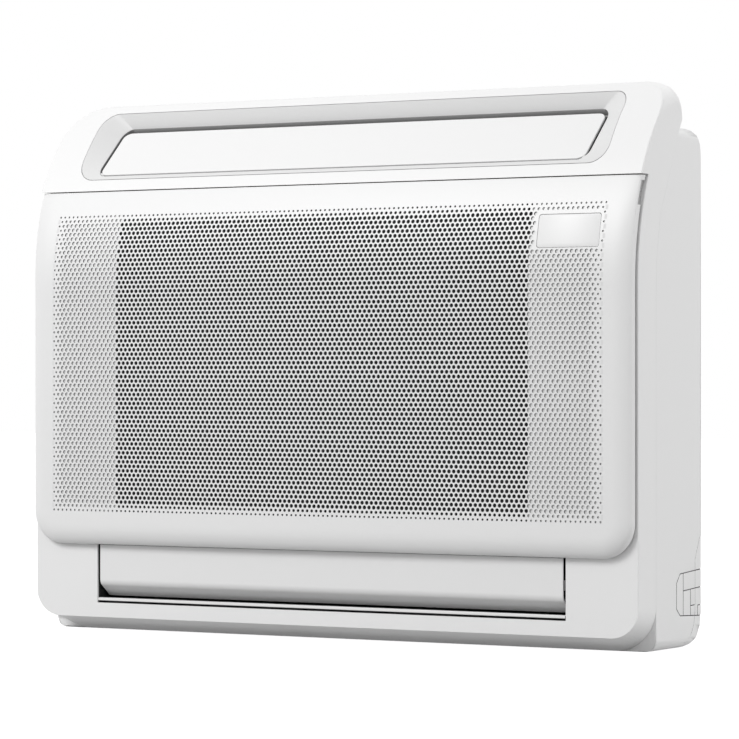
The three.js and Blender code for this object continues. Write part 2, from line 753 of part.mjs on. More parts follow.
const bendCount = 5;
const makeCoilEnd = (side) => {
  const x = side * (coilHalf + gap);
  const [x0, x1] = side > 0 ? [x, x + 1.5] : [x - 1.5, x];
  const parts = [block(x0, x1, coilFront - 2, coilBack + 2, coilBottom + 20, coilTop)];
  const pitch = (coilTop - coilBottom - 60) / bendCount;
  for (let i = 0; i < bendCount; i++) {
    const z = coilBottom + 45 + i * pitch;
    const y = i % 2 ? coilFront + 7 : coilBack - 7;
    const start = x + side * 0.8;
    const bend = [[0, 0], [10, 2], [15, 12], [10, 22], [0, 24]];
    parts.push(tube(bend.map(([out, up]) => [start + side * out, y, z + up]), 3.5, 4, 6));
  }
  return join(...parts);
};

const nutY = 128;
const pipeStart = -(coilHalf + gap + 1.5 + gap + 0.3);
const makePipe = ({ r, z, low, out, y }) =>
  tube(
    [
      [pipeStart, y, z],
      [pipeStart - 14, y, z],
      [pipeStart - out + 10, y + 10, z - 22],
      [pipeStart - out, y + 30, low + 44],
      [pipeStart - out, y + 48, low + 6],
      [pipeStart - out, nutY - 8, low],
      [pipeStart - out, nutY, low],
    ],
    r,
    17,
    8,
  );

const makeNut = ({ nut, low, out }) => {
  const y = nutY + gap;
  const profile = [[0, y], [nut, y], [nut, y + 10], [nut * 0.66, y + 16], [0, y + 16]];
  return turned(profile, pipeStart - out, low, 6);
};

const makeDrainPan = () => {
  const reach = coilHalf + 20;
  const front = coilFront - 5;
  const back = coilBack + 5;
  const rim = panBottom + 26;
  const t = panWall;
  const pan = cut(
    block(-reach, reach, front, back, panBottom, rim),
    block(-reach + t, reach - t, front + t, back - t, panBottom + t, rim + 1),
  );
  const spigot = rodX(8, -reach - 22, -reach + 1, coilBack - 8, panBottom + 10, 10);
  const bore = rodX(6, -reach - 23, -reach + 3, coilBack - 8, panBottom + 10, 10);
  return cut(join(pan, spigot), bore);
};

// ---------- fan ----------
const makeBellMouth = () => {
  const reach = coilHalf + 28;
  const plate = block(-reach, reach, plateY, plateY + 2.5, panBottom, height - 114.4);
  const throat = eyeRadius - 5;
  const flare = [
    [throat + 14, plateY],
    [throat + 14, plateY + 2.5],
    [throat + 3.4, plateY + 6],
    [throat + 2.2, plateY + 15],
    [throat, plateY + 15],
    [throat, plateY + 8],
    [throat + 4, plateY + 2],
  ];
  const hole = turned([[0, 0], [throat + 13, 0], [throat + 13, 200], [0, 200]], 0, fanZ, 24);
  return join(cut(plate, hole), turned(flare, 0, fanZ, 24));
};

const bladeShape = () => {
  const inner = [];
  const outer = [];
  const t = 2.4;
  for (let i = 0; i <= 5; i++) {
    const s = i / 5;
    const r = 82 + (fanRadius - 3 - 82) * s;
    const sweep = -0.62 * s + 0.12 * s * s;
    const lead = t * Math.sin(Math.PI * Math.min(s + 0.12, 1)) + 0.5;
    const a = sweep + lead / 2 / r;
    const b = sweep - lead / 2 / r;
    outer.push([r * Math.cos(a), r * Math.sin(a)]);
    inner.push([r * Math.cos(b), r * Math.sin(b)]);
  }
  return [...inner, ...outer.reverse()];
};

const makeFanWheel = () => {
  const front = plateY + 12;
  const back = plateY + 72;
  const bore = shaftRadius + 0.4;
  const hub = turned(
    [
      [bore, front + 14],
      [14, front + 14],
      [54, front + 24],
      [64, back - 6],
      [fanRadius, back - 2.5],
      [fanRadius, back],
      [61, back - 3],
      [51.5, front + 27],
      [13, front + 18],
      [12, front + 30],
      [bore, front + 30],
    ],
    0,
    fanZ,
    24,
  );
  const shroudLine = [
    [eyeRadius, front],
    [eyeRadius + 2.5, front],
    [eyeRadius + 4, front + 8],
    [eyeRadius + 14, front + 16],
    [fanRadius, front + 22],
    [fanRadius, front + 24.5],
    [eyeRadius + 12, front + 18.5],
    [eyeRadius + 1.5, front + 10],
  ];
  const shroud = turned(shroudLine, 0, fanZ, 24);
  const spareLine = [
    [0, front - 20],
    [fanRadius + 5, front - 20],
    [fanRadius + 5, front + 23],
    [eyeRadius + 13, front + 17],
    [eyeRadius + 2.6, front + 8],
    [96, front + 22],
    [0, front + 22],
  ];
  const spare = turned(spareLine, 0, fanZ, 24);
  const outline = bladeShape();
  const blades = Array.from({ length: bladeCount }, (_, i) => {
    const turn = (i / bladeCount) * Math.PI * 2;
    const c = Math.cos(turn);
    const s = Math.sin(turn);
    const points = outline.map(([x, z]) => [x * c - z * s, x * s + z * c + fanZ]);
    return cut(alongY(shapeOf(points), front, back - 1.6), spare);
  });
  return join(hub, shroud, ...blades);
};

const shaftFront = plateY + 18;
const motorFront = plateY + 46;
const shaftBack = motorFront + 22;
const makeShaft = () => {
  const profile = [[0, shaftFront], [shaftRadius, shaftFront], [shaftRadius, shaftBack], [0, shaftBack]];
  return turned(profile, 0, fanZ, 16);
};
const makeFanNut = () => {
  const y0 = plateY + 20;
  const r = (shaftRadius + gap) / Math.cos(Math.PI / 6);
  return turned([[r, y0], [8, y0], [8, y0 + 5.7], [r, y0 + 5.7]], 0, fanZ, 6);
};
const makeMotor = () => {
  const b = motorFront;
  return turned(
    [
      [0, b + 22.4],
      [shaftRadius + 0.4, b + 22.4],
      [shaftRadius + 0.4, b],
      [16, b],
      [18, b + 5],
      [motorRadius, b + 5],
      [motorRadius, b + 42],
      [16, b + 46],
      [0, b + 46],
    ],
    0,
    fanZ,
    24,
  );
};
const makeMotorBracket = () => {
  const seat = motorFront + 46 + gap;
  const foot = depth - wall - gap;
  const hat = shapeOf([
    [foot, -96], [foot, -62], [seat + 2, -50], [seat + 2, 50], [foot, 62], [foot, 96],
    [foot - 2, 96], [foot - 2, 63], [seat, 52], [seat, -52], [foot - 2, -63], [foot - 2, -96],
  ]);
  const bore = turned([[0, 0], [10, 0], [10, depth], [0, depth]], 0, fanZ, 12);
  return cut(alongX(hat, -45, 45).translate([0, 0, fanZ]), bore);
};

const guideTopDrop = 129;
const guideBottom = 120;
const makeAirGuide = (side) => {
  const steps = [-1, -0.66, -0.33, 0, 0.33, 0.66, 1];
  const [up, down] = [height - guideTopDrop - fanZ, fanZ - guideBottom];
  const line = steps.map((s) => [fanRadius + 22 + 100 * s * s, fanZ + s * (s > 0 ? up : down)]);
  const outline = [...line, ...line.map(([x, z]) => [x + 3, z]).reverse()];
  const shape = shapeOf(outline.map(([x, z]) => [side * x, z]));
  return alongY(shape, plateY + 2.5 + gap, depth - wall - gap);
};

// ---------- control box ----------
const boxBack = 150;
const boxFront = 72;
const boxBottom = 150;
const boxTop = 440;
const makeControlBox = () => {
  const t = 2;
  const tub = cut(
    block(boxLeft, boxLeft + boxWidth, boxFront, boxBack, boxBottom, boxTop),
    block(boxLeft + t, boxLeft + boxWidth - t, boxFront - 1, boxBack - t, boxBottom + t, boxTop - t),
  );
  const posts = [];
  for (const x of [boxLeft + 14, boxLeft + boxWidth - 14])
    for (const z of [boxBottom + 30, boxTop - 30])
      posts.push(block(x - 4, x + 4, boxBack - 16, boxBack - 1, z - 4, z + 4));
  const arms = [boxBottom + 40, boxTop - 60].map((z) =>
    block(boxLeft + 20, boxLeft + 44, boxBack - 1, depth - wall - gap, z, z + 3));
  return join(tub, ...posts, ...arms);
};
const makeControlLid = () => {
  const t = 2;
  const y = boxFront - gap;
  const lid = block(boxLeft - 1, boxLeft + boxWidth + 1, y - t, y, boxBottom - 1, boxTop + 1);
  const slots = [];
  for (let i = 0; i < 6; i++) {
    const z = boxTop - 40 - i * 10;
    slots.push(block(boxLeft + 16, boxLeft + boxWidth - 16, boxFront - 10, boxFront + 2, z, z + 4));
  }
  return cut(lid, ...slots);
};
const makeControlBoard = () => {
  const y1 = boxBack - 16 - gap;
  const board = block(boxLeft + 4, boxLeft + boxWidth - 4, y1 - 1.6, y1, boxBottom + 24, boxTop - 12);
  const parts = [
    block(boxLeft + 14, boxLeft + 38, y1 - 26, y1 - 1, boxBottom + 60, boxBottom + 84),
    block(boxLeft + 46, boxLeft + 66, y1 - 18, y1 - 1, boxBottom + 110, boxBottom + 150),
    block(boxLeft + 12, boxLeft + 34, y1 - 34, y1 - 1, boxBottom + 170, boxBottom + 192),
  ];
  return join(board, ...parts);
};
const makeTerminalBlock = () => {
  const z = boxBottom - gap;
  const base = block(boxLeft + 12, boxLeft + 70, boxFront + 6, boxFront + 34, z - 26, z);
  const slots = [0, 1, 2, 3, 4].map((i) =>
    block(boxLeft + 16 + i * 10.6, boxLeft + 23 + i * 10.6, boxFront + 5, boxFront + 20, z - 20, z - 6));
  return cut(base, ...slots);
};

// ---------- rear casing, corner covers, back frame ----------
const rearOutline = (t, open) => {
  const s = new THREE.Shape();
  const back = rearDepth - t;
  const low = rearLowRadius - t;
  const high = rearHighRadius - t;
  const top = rearTop - t;
  s.moveTo(open ? 0 : bandDepth + gap, t);
  s.lineTo(back - low, t);
  s.absarc(back - low, t + low, low, -Math.PI / 2, 0);
  s.lineTo(back, top - high);
  s.absarc(back - high, top - high, high, 0, Math.PI / 2);
  if (open) {
    s.lineTo(0, top);
    return s;
  }
  for (const z of heights(creases[0], top).reverse()) s.lineTo(bandDepth + gap + lean(z), z);
  return s;
};

const rearShell = () => {
  const outer = alongX(rearOutline(0, false), -half, half).intersect(
    alongY(roundedRect(-half, half, 0, rearTop, rearCorner), -5, depth),
  );
  const inner = alongX(rearOutline(sheet, true), -half + sheet, half - sheet).intersect(
    alongY(roundedRect(-half + sheet, half - sheet, sheet, rearTop - sheet, rearCorner - sheet), -5, depth),
  );
  return cut(outer, inner);
};

// Closes the lower corner behind the band, whose own corner is rounder than the rear casing's.
const cornerWeb = (side) => {
  const corner = shapeOf([[side * half, 0], [side * (half - webReach), 0], [side * half, webReach]]);
  return alongY(corner, bandDepth + gap, bandDepth + gap + sheet);
};

// Region behind the seam of a rear lower corner; grow moves the seam forward.
const cornerRegion = (side, grow) => {
  const s = new THREE.Shape();
  const y = seamY - grow;
  s.moveTo(rearDepth + 20, 122 + grow);
  s.lineTo(rearDepth - 3 - grow, 121);
  s.lineTo(y, 96);
  s.lineTo(y, 40);
  s.absarc(y - 38, 40, 38, 0, -Math.PI / 2, true);
  s.lineTo(y - 38, -5);
  s.lineTo(rearDepth + 20, -5);
  const near = side * (backHalf + 1 - grow);
  const far = side * (half + 5);
  return alongX(s, Math.min(near, far), Math.max(near, far));
};

// Scored knock-outs on both sides: thin grooves in the side wall.
const knockouts = () => {
  const w = knockoutLine / 2;
  const y0 = 110;
  const lines = [
    [y0, 44, y0, 72], [y0, 72, y0 + 9, 82], [y0 + 9, 82, rearDepth + 5, 85.5],
    [y0, 44, y0 + 9, 36.2], [y0 + 9, 36.2, rearDepth + 5, 33.8],
    [126.7, 36, 126.7, 82.4], [126.7, 63, rearDepth + 5, 66], [144.8, 35.4, 144.8, 64.2],
    [144.8, 46, 155, 46.4], [162.4, 34.4, 162.4, 45.6], [162.4, 45.6, rearDepth + 5, 46.2],
  ];
  return lines.flatMap(([ya, za, yb, zb]) => {
    const len = Math.hypot(yb - ya, zb - za);
    const [ny, nz] = [(-(zb - za) / len) * w, ((yb - ya) / len) * w];
    const s = shapeOf([[ya - ny, za - nz], [yb - ny, zb - nz], [yb + ny, zb + nz], [ya + ny, za + nz]]);
    return [alongX(s, half - knockoutDepth, half + 1), alongX(s, -half - 1, -half + knockoutDepth)];
  });
};

const backBottom = rearLowRadius + 8;
const backTop = rearTop - rearHighRadius - 10;
const makeRearParts = () => {
  const edge = alongY(roundedRect(-half, half, 0, rearTop, rearCorner), 0, depth);
  const webs = [-1, 1].map((side) => cornerWeb(side).intersect(edge));
  const scored = cut(join(rearShell(), ...webs), ...knockouts());
  const side = backHalf + gap;
  const hole = block(-side, side, rearDepth - 20, depth + 5, backBottom - gap, backTop + gap);
  const open = cut(scored, hole);
  return {
    casing: cut(open, cornerRegion(-1, gap), cornerRegion(1, gap)),
    left: open.intersect(cornerRegion(-1, 0)),
    right: open.intersect(cornerRegion(1, 0)),
  };
};

const makeBackFrame = () => {
  const flangeY = rearDepth - sheet - gap;
  const flange = block(-backHalf - 12, backHalf + 12, flangeY - wall, flangeY, backBottom - 6, backTop + 8);
  const box = alongY(roundedRect(-backHalf, backHalf, backBottom, backTop, 14), flangeY - 1, depth);
  const inner = alongY(
    roundedRect(-backHalf + wall, backHalf - wall, backBottom + wall, backTop - wall, 11.5),
    flangeY - 20,
    depth - wall,
  );
  const keys = [-240, 240].map((x) => alongY(roundedRect(x - 9, x + 9, 430, 470, 8), depth - 10, depth + 5));
  return cut(join(flange, box), inner, ...keys);
};

// ---------- materials ----------
const finish = (color, roughness, metalness = 0) =>
  new THREE.MeshStandardMaterial({ color, roughness, metalness });
const white = finish(0xf2f2f1, 0.42);
const softWhite = finish(0xe6e6e5, 0.5);
const grey = finish(0xa9aaab, 0.5);
const darkGrey = finish(0x55585b, 0.6);
const black = finish(0x1d1e20, 0.6);
const steel = finish(0xb8bcc0, 0.38, 0.9);
const aluminium = finish(0xc9ccce, 0.4, 0.9);
const copper = finish(0xb5704a, 0.35, 0.95);
const brass = finish(0xbd9a4a, 0.35, 0.95);
const board = finish(0x2f6b46, 0.55);

// ---------- the assembly ----------
const rear = makeRearParts();
const suction = { r: 7.9, z: coilBottom + suctionShare * coilHeight, y: coilFront + 13, low: 72, out: 62, nut: 13 };
const liquid = { r: 4.8, z: coilBottom + liquidShare * coilHeight, y: coilFront + 9, low: 110, out: 92, nut: 9 };
const pieces = [
  ["front_casing", makeFrontCasing(), white],
  ["front_panel", makePanel(), white],
  ["display_window", makeWindow(), softWhite],
  ["display_board", makeDisplayBoard(), board],
  ["panel_catch_left", makeCatch(-1), grey],
  ["panel_catch_right", makeCatch(1), grey],
  ["upper_bezel", makeBezel(), softWhite],
  ["upper_flap", makeFlap(), white],
  ["upper_duct", makeUpperDuct(), grey],
  ["vane_link", makeLink(), grey],
  ["lower_louver", makeLouver(), white],
  ["lower_duct", makeLowerDuct(), grey],
  ["flap_motor", makeStepper(upperHalf + gap, ...flapAxis), steel],
  ["louver_motor", makeStepper(lowerHalf + ductWall + gap, louverAxisY, louverAxisZ), steel],
  ["filter_left", makeFilter(-1), darkGrey],
  ["filter_right", makeFilter(1), darkGrey],
  ["evaporator_fins", makeFins(), aluminium],
  ["coil_end_left", makeCoilEnd(-1), copper],
  ["coil_end_right", makeCoilEnd(1), copper],
  ["suction_pipe", makePipe(suction), copper],
  ["liquid_pipe", makePipe(liquid), copper],
  ["suction_flare_nut", makeNut(suction), brass],
  ["liquid_flare_nut", makeNut(liquid), brass],
  ["drain_pan", makeDrainPan(), black],
  ["bell_mouth", makeBellMouth(), darkGrey],
  ["fan_wheel", makeFanWheel(), darkGrey],
  ["motor_shaft", makeShaft(), steel],
  ["fan_nut", makeFanNut(), steel],
  ["fan_motor", makeMotor(), steel],
  ["motor_bracket", makeMotorBracket(), steel],
  ["air_guide_left", makeAirGuide(-1), softWhite],
  ["air_guide_right", makeAirGuide(1), softWhite],
  ["control_box", makeControlBox(), steel],
  ["control_lid", makeControlLid(), steel],
  ["control_board", makeControlBoard(), board],
  ["terminal_block", makeTerminalBlock(), black],
  ["rear_casing", rear.casing, softWhite],
  ["corner_cover_left", rear.left, softWhite],
  ["corner_cover_right", rear.right, softWhite],
  ["back_frame", makeBackFrame(), softWhite],
  ...vaneXs.map((x, i) => ["vane_" + (i + 1), makeVane(x), grey]),
];

const cabinet = new THREE.Group();
cabinet.position.y = -depth / 2;
for (const [name, solid, material] of pieces) {
  const mesh = new THREE.Mesh(geometryOf(solid), material);
  mesh.name = name;
  cabinet.add(mesh);
}

const airConditioner = new THREE.Group();
airConditioner.add(cabinet);
export default airConditioner;
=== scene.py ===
import json
import math

import bpy
import numpy as np
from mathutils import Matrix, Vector

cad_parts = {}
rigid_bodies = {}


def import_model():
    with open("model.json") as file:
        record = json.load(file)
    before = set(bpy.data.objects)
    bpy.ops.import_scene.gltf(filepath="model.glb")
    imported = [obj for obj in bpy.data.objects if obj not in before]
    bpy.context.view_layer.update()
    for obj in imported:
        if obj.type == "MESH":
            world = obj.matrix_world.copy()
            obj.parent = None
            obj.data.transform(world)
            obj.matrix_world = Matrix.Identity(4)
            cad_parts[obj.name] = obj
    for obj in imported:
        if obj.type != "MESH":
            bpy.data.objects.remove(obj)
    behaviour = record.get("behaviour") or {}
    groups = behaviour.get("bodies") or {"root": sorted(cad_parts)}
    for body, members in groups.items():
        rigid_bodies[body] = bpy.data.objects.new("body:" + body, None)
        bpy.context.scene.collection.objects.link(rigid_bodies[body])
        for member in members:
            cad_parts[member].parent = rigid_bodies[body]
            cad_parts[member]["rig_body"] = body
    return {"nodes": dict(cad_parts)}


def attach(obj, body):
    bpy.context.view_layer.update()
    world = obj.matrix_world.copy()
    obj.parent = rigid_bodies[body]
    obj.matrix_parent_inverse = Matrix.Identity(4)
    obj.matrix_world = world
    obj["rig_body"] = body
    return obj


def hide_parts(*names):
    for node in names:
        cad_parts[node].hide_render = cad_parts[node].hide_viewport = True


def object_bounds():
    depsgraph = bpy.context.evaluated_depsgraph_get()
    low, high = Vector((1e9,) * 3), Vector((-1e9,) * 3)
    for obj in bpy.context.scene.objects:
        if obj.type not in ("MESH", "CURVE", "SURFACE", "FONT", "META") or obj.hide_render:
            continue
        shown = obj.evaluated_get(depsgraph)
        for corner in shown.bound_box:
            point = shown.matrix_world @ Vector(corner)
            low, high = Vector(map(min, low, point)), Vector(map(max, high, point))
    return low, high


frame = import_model()
cadLow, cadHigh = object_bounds()

# Metres, as the frame gives them. The front looks along -Y, and depths count back from the front plane.
mm = 0.001
frontY = cadLow.y
topZ = cadHigh.z
# the front leans back along an arc over its upper part
hood = {"leanDrop": 224 * mm, "leanRadius": 285 * mm}


def leanAt(z):
    rise = np.clip(z - (topZ - hood["leanDrop"]), 0, hood["leanRadius"])
    return hood["leanRadius"] - np.sqrt(hood["leanRadius"] ** 2 - rise ** 2)


def only(obj):
    if bpy.context.mode != "OBJECT":
        bpy.ops.object.mode_set(mode="OBJECT")
    bpy.ops.object.select_all(action="DESELECT")
    obj.select_set(True)
    bpy.context.view_layer.objects.active = obj


def pick(obj, kind, test):
    # enters edit mode with just the vertices, edges or faces that pass the test
    only(obj)
    bpy.ops.object.mode_set(mode="EDIT")
    bpy.context.tool_settings.mesh_select_mode = (kind == "vertex", kind == "edge", kind == "face")
    bpy.ops.mesh.select_all(action="DESELECT")
    bpy.ops.object.mode_set(mode="OBJECT")
    mesh = obj.data
    if kind == "vertex":
        for v in mesh.vertices:
            v.select = bool(test(v.co))
    elif kind == "edge":
        for e in mesh.edges:
            a, b = [mesh.vertices[i].co for i in e.vertices]
            e.select = bool(test(a, b))
    else:
        for f in mesh.polygons:
            f.select = bool(test(f.center, f.normal))
    bpy.ops.object.mode_set(mode="EDIT")


def pickAll(obj):
    only(obj)
    bpy.ops.object.mode_set(mode="EDIT")
    bpy.ops.mesh.select_all(action="SELECT")


def leave():
    bpy.ops.object.mode_set(mode="OBJECT")


def settled(name, scale=(1, 1, 1)):
    # names the new primitive and puts its place and size into its mesh
    made = bpy.context.object
    made.name = name
    made.scale = scale
    bpy.ops.object.transform_apply(location=True, rotation=True, scale=True)
    return made


def upright(name, x0, x1, z0, z1, y):
    # a plate that faces the front
    bpy.ops.object.select_all(action="DESELECT")
    place = ((x0 + x1) / 2, y, (z0 + z1) / 2)
    bpy.ops.mesh.primitive_plane_add(size=1, location=place, rotation=(math.pi / 2, 0, 0))
    return settled(name, (x1 - x0, z1 - z0, 1))


def box(name, low, high):
    bpy.ops.object.select_all(action="DESELECT")
    middle = [(a + b) / 2 for a, b in zip(low, high)]
    bpy.ops.mesh.primitive_cube_add(size=1, location=middle)
    return settled(name, [b - a for a, b in zip(low, high)])


def rod(name, radius, start, end, sides=20):
    bpy.ops.object.select_all(action="DESELECT")
    a, b = Vector(start), Vector(end)
    turn = (b - a).to_track_quat("Z", "Y").to_euler()
    bpy.ops.mesh.primitive_cylinder_add(
        vertices=sides, radius=radius, depth=(b - a).length, location=(a + b) / 2, rotation=turn)
    return settled(name)


def pinPair(radius, start, end, y, z):
    # the end pins of a flap or a louver
    return [rod("pin", radius, (side * start, y, z), (side * end, y, z)) for side in (-1, 1)]


def roundCorner(obj, x, z, radius, segments=8):
    pick(obj, "vertex", lambda co: abs(co.x - x) < 1e-6 and abs(co.z - z) < 1e-6)
    bpy.ops.mesh.bevel(offset=radius, segments=segments, affect="VERTICES")
    leave()


def cutAt(obj, place, normal, clearAbove=False):
    pickAll(obj)
    bpy.ops.mesh.bisect(plane_co=place, plane_no=normal, clear_outer=clearAbove, use_fill=False)
    leave()


def sliced(obj, axis, start, end, count):
    # even cuts across x or z, which let a plate bend
    normal = Vector((1, 0, 0) if axis == "x" else (0, 0, 1))
    for k in range(1, count):
        cutAt(obj, normal * (start + (end - start) * k / count), normal)


def applied(obj, kind, **settings):
    only(obj)
    modifier = obj.modifiers.new(kind.lower(), kind)
    for key, value in settings.items():
        setattr(modifier, key, value)
    bpy.ops.object.modifier_apply(modifier=modifier.name)


def repeated(obj, count, step):
    applied(obj, "ARRAY", count=count, use_relative_offset=False, use_constant_offset=True,
            constant_offset_displace=step, use_merge_vertices=True, merge_threshold=0.01 * mm)


def evened(obj):
    # large faces keep a flat shade beside their narrow round edges
    applied(obj, "WEIGHTED_NORMAL", keep_sharp=True, weight=80)


def beveled(obj, width, segments=2, degrees=50):
    applied(obj, "BEVEL", width=width, segments=segments, limit_method="ANGLE",
            angle_limit=math.radians(degrees))


def joined(name, objects):
    only(objects[0])
    for obj in objects:
        obj.select_set(True)
    bpy.ops.object.join()
    made = bpy.context.object
    made.name = name
    return made


def copied(obj, name):
    only(obj)
    bpy.ops.object.duplicate()
    made = bpy.context.object
    made.name = name
    return made


def merged(obj, distance=0.01 * mm):
    pickAll(obj)
    bpy.ops.mesh.remove_doubles(threshold=distance)
    leave()


def outward(obj):
    pickAll(obj)
    bpy.ops.mesh.normals_make_consistent(inside=False)
    leave()


def outlineOnly(obj):
    # takes a plate's face away and leaves its edges
    pickAll(obj)
    bpy.ops.mesh.delete(type="ONLY_FACE")
    leave()


def bridged(obj):
    pickAll(obj)
    bpy.context.tool_settings.mesh_select_mode = (False, True, False)
    bpy.ops.mesh.bridge_edge_loops()
    leave()


def facing(obj):
    # turns the faces of an open skin to the front
    if obj.data.polygons[0].normal.y > 0:
        pickAll(obj)
        bpy.ops.mesh.flip_normals()
        leave()


def moved(obj, place):
    # place(co) gets and returns the vertices as an N by 3 array
    co = np.empty(len(obj.data.vertices) * 3)
    obj.data.vertices.foreach_get("co", co)
    obj.data.vertices.foreach_set("co", place(co.reshape(-1, 3)).ravel())
    obj.data.update()


def pushBack(obj, depthAt):
    # moves every vertex back by a depth that goes with its height
    moved(obj, lambda co: co + np.outer(depthAt(co[:, 2]), (0, 1, 0)))


def roundedPlate(name, x0, x1, z0, z1, y, low, high, segments=8):
    plate = upright(name, x0, x1, z0, z1, y)
    for x in (x0, x1):
        roundCorner(plate, x, z0, low, segments)
        roundCorner(plate, x, z1, high, segments)
    return plate


def thickPlate(name, x0, x1, z0, z1, y0, y1, low, high):
    plate = roundedPlate(name, x0, x1, z0, z1, y0, low, high)
    pickAll(plate)
    bpy.ops.mesh.extrude_region_move(TRANSFORM_OT_translate={"value": (0, y1 - y0, 0)})
    leave()
    outward(plate)
    return plate


def lofted(name, rings):
    # closed rings, given as stations by points by three, and capped at both ends
    stations, points = len(rings), len(rings[0])
    bpy.ops.object.select_all(action="DESELECT")
    bpy.ops.mesh.primitive_grid_add(x_subdivisions=points, y_subdivisions=stations - 1)
    made = bpy.context.object
    made.name = name
    closed = np.concatenate([rings, rings[:, :1]], axis=1)
    moved(made, lambda co: closed.reshape(-1, 3))
    merged(made, 0.005 * mm)
    for end in (rings[0], rings[-1]):
        x = float(end[0][0])
        pick(made, "edge", lambda a, b: abs(a.x - x) < 1e-7 and abs(b.x - x) < 1e-7)
        bpy.ops.mesh.edge_face_add()
        leave()
    outward(made)
    return made


def cutBy(obj, cutter):
    applied(obj, "BOOLEAN", operation="DIFFERENCE", object=cutter, solver="EXACT")
    bpy.data.objects.remove(cutter)


def smooth(obj, degrees=35):
    only(obj)
    bpy.ops.object.shade_smooth_by_angle(angle=math.radians(degrees))


def marked(obj, material, test):
    # a second finish on the faces that pass the test
    obj.data.materials.append(material)
    index = len(obj.data.materials) - 1
    for face in obj.data.polygons:
        if test(face.center, face.normal):
            face.material_index = index


def finished(obj, body, material=None, replaces=()):
    if material:
        obj.data.materials.clear()
        obj.data.materials.append(material)
    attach(obj, body)
    if replaces:
        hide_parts(*replaces)
    return obj


def makeGrainGroup():
    # fine moulded grain: a bump height and a little change in roughness
    group = bpy.data.node_groups.new("mouldGrain", "ShaderNodeTree")
    sockets = [("Size", "INPUT", "NodeSocketFloat"), ("Roughness", "INPUT", "NodeSocketFloat"),
               ("Change", "INPUT", "NodeSocketFloat"), ("Rough", "OUTPUT", "NodeSocketFloat"),
               ("Height", "OUTPUT", "NodeSocketFloat")]
    for label, way, kind in sockets:
        group.interface.new_socket(label, in_out=way, socket_type=kind)
    nodes, links = group.nodes, group.links
    start = nodes.new("NodeGroupInput")
    end = nodes.new("NodeGroupOutput")
    place = nodes.new("ShaderNodeTexCoord")
    noise = nodes.new("ShaderNodeTexNoise")
    noise.inputs["Detail"].default_value = 3
    links.new(place.outputs["Object"], noise.inputs["Vector"])
    links.new(start.outputs["Size"], noise.inputs["Scale"])
    centred = nodes.new("ShaderNodeMath")
    centred.operation = "SUBTRACT"
    centred.inputs[1].default_value = 0.5
    links.new(noise.outputs["Fac"], centred.inputs[0])
    scaled = nodes.new("ShaderNodeMath")
    scaled.operation = "MULTIPLY_ADD"
    links.new(centred.outputs[0], scaled.inputs[0])
    links.new(start.outputs["Change"], scaled.inputs[1])
    links.new(start.outputs["Roughness"], scaled.inputs[2])
    links.new(scaled.outputs[0], end.inputs["Rough"])
    links.new(noise.outputs["Fac"], end.inputs["Height"])
    return group


grainGroup = makeGrainGroup()


def makeFinish(name, color, roughness, metallic=0.0, grain=0.0, size=900, change=0.06):
    material = bpy.data.materials.new(name)
    material.use_nodes = True
    nodes, links = material.node_tree.nodes, material.node_tree.links
    shader = nodes["Principled BSDF"]
    shader.inputs["Base Color"].default_value = (*color, 1)
    shader.inputs["Metallic"].default_value = metallic
    made = nodes.new("ShaderNodeGroup")
    made.node_tree = grainGroup
    made.inputs["Size"].default_value = size
    made.inputs["Roughness"].default_value = roughness
    made.inputs["Change"].default_value = change
    links.new(made.outputs["Rough"], shader.inputs["Roughness"])
    if grain:
        bump = nodes.new("ShaderNodeBump")
        bump.inputs["Strength"].default_value = grain
        bump.inputs["Distance"].default_value = 0.05 * mm
        links.new(made.outputs["Height"], bump.inputs["Height"])
        links.new(bump.outputs["Normal"], shader.inputs["Normal"])
    return material


finishes = {
    "casing": makeFinish("casingWhite", (0.88, 0.88, 0.88), 0.46, grain=0.15),
    "panel": makeFinish("panelWhite", (0.84, 0.84, 0.84), 0.42, grain=0.1),
    "rear": makeFinish("rearWhite", (0.88, 0.88, 0.88), 0.5, grain=0.2),
    "flap": makeFinish("flapWhite", (0.87, 0.87, 0.87), 0.36, grain=0.06),
    "bezel": makeFinish("bezelWhite", (0.76, 0.76, 0.76), 0.42, grain=0.1),
    "louver": makeFinish("louverWhite", (0.85, 0.85, 0.85), 0.34, grain=0.05),
    "window": makeFinish("windowWhite", (0.84, 0.84, 0.84), 0.4),
    "catch": makeFinish("catchGrey", (0.42, 0.42, 0.42), 0.4, grain=0.1),
    # duct grey, used on the ducts and as painted shade in the bezel's throat
    "ductGreyAndThroatShade": makeFinish("ductGreyAndThroatShade", (0.3, 0.3, 0.3), 0.55, grain=0.1),
    "ductBlack": makeFinish("ductBlack", (0.012, 0.012, 0.012), 0.6),
    "fanGrey": makeFinish("fanGrey", (0.03, 0.03, 0.032), 0.5, grain=0.1),
    # near black, painted shade inside the unit, on the filters and the sheets before them
    "filter": makeFinish("filterShadeBlack", (0.02, 0.02, 0.022), 0.7),
    "steel": makeFinish("zincSteel", (0.55, 0.56, 0.57), 0.35, metallic=1, size=300, change=0.15),
    "foil": makeFinish("finFoil", (0.6, 0.61, 0.62), 0.35, metallic=1),
    "copper": makeFinish("pipeCopper", (0.72, 0.35, 0.2), 0.3, metallic=1, size=120, change=0.2),
    "brass": makeFinish("nutBrass", (0.68, 0.5, 0.22), 0.28, metallic=1),
    # painted shade on the walls of holes and dimples
    "holeWallShade": makeFinish("holeShadeGrey", (0.32, 0.32, 0.32), 0.6),
    # painted shade near black in the floors of scored lines and seams
    "seam": makeFinish("scoreShadeBlack", (0.04, 0.04, 0.04), 0.7),
    "board": makeFinish("boardGreen", (0.03, 0.12, 0.06), 0.45),
}
print("materials made")


def softened(node, finish):
    # the solid's own shape, smooth where it is round
    made = copied(frame["nodes"][node], node + "Skin")
    made.parent = None
    for key in list(made.keys()):
        del made[key]
    merged(made)
    smooth(made, 32)
    evened(made)
    body = frame["nodes"][node]["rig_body"]
    return finished(made, body, finishes[finish], [node])


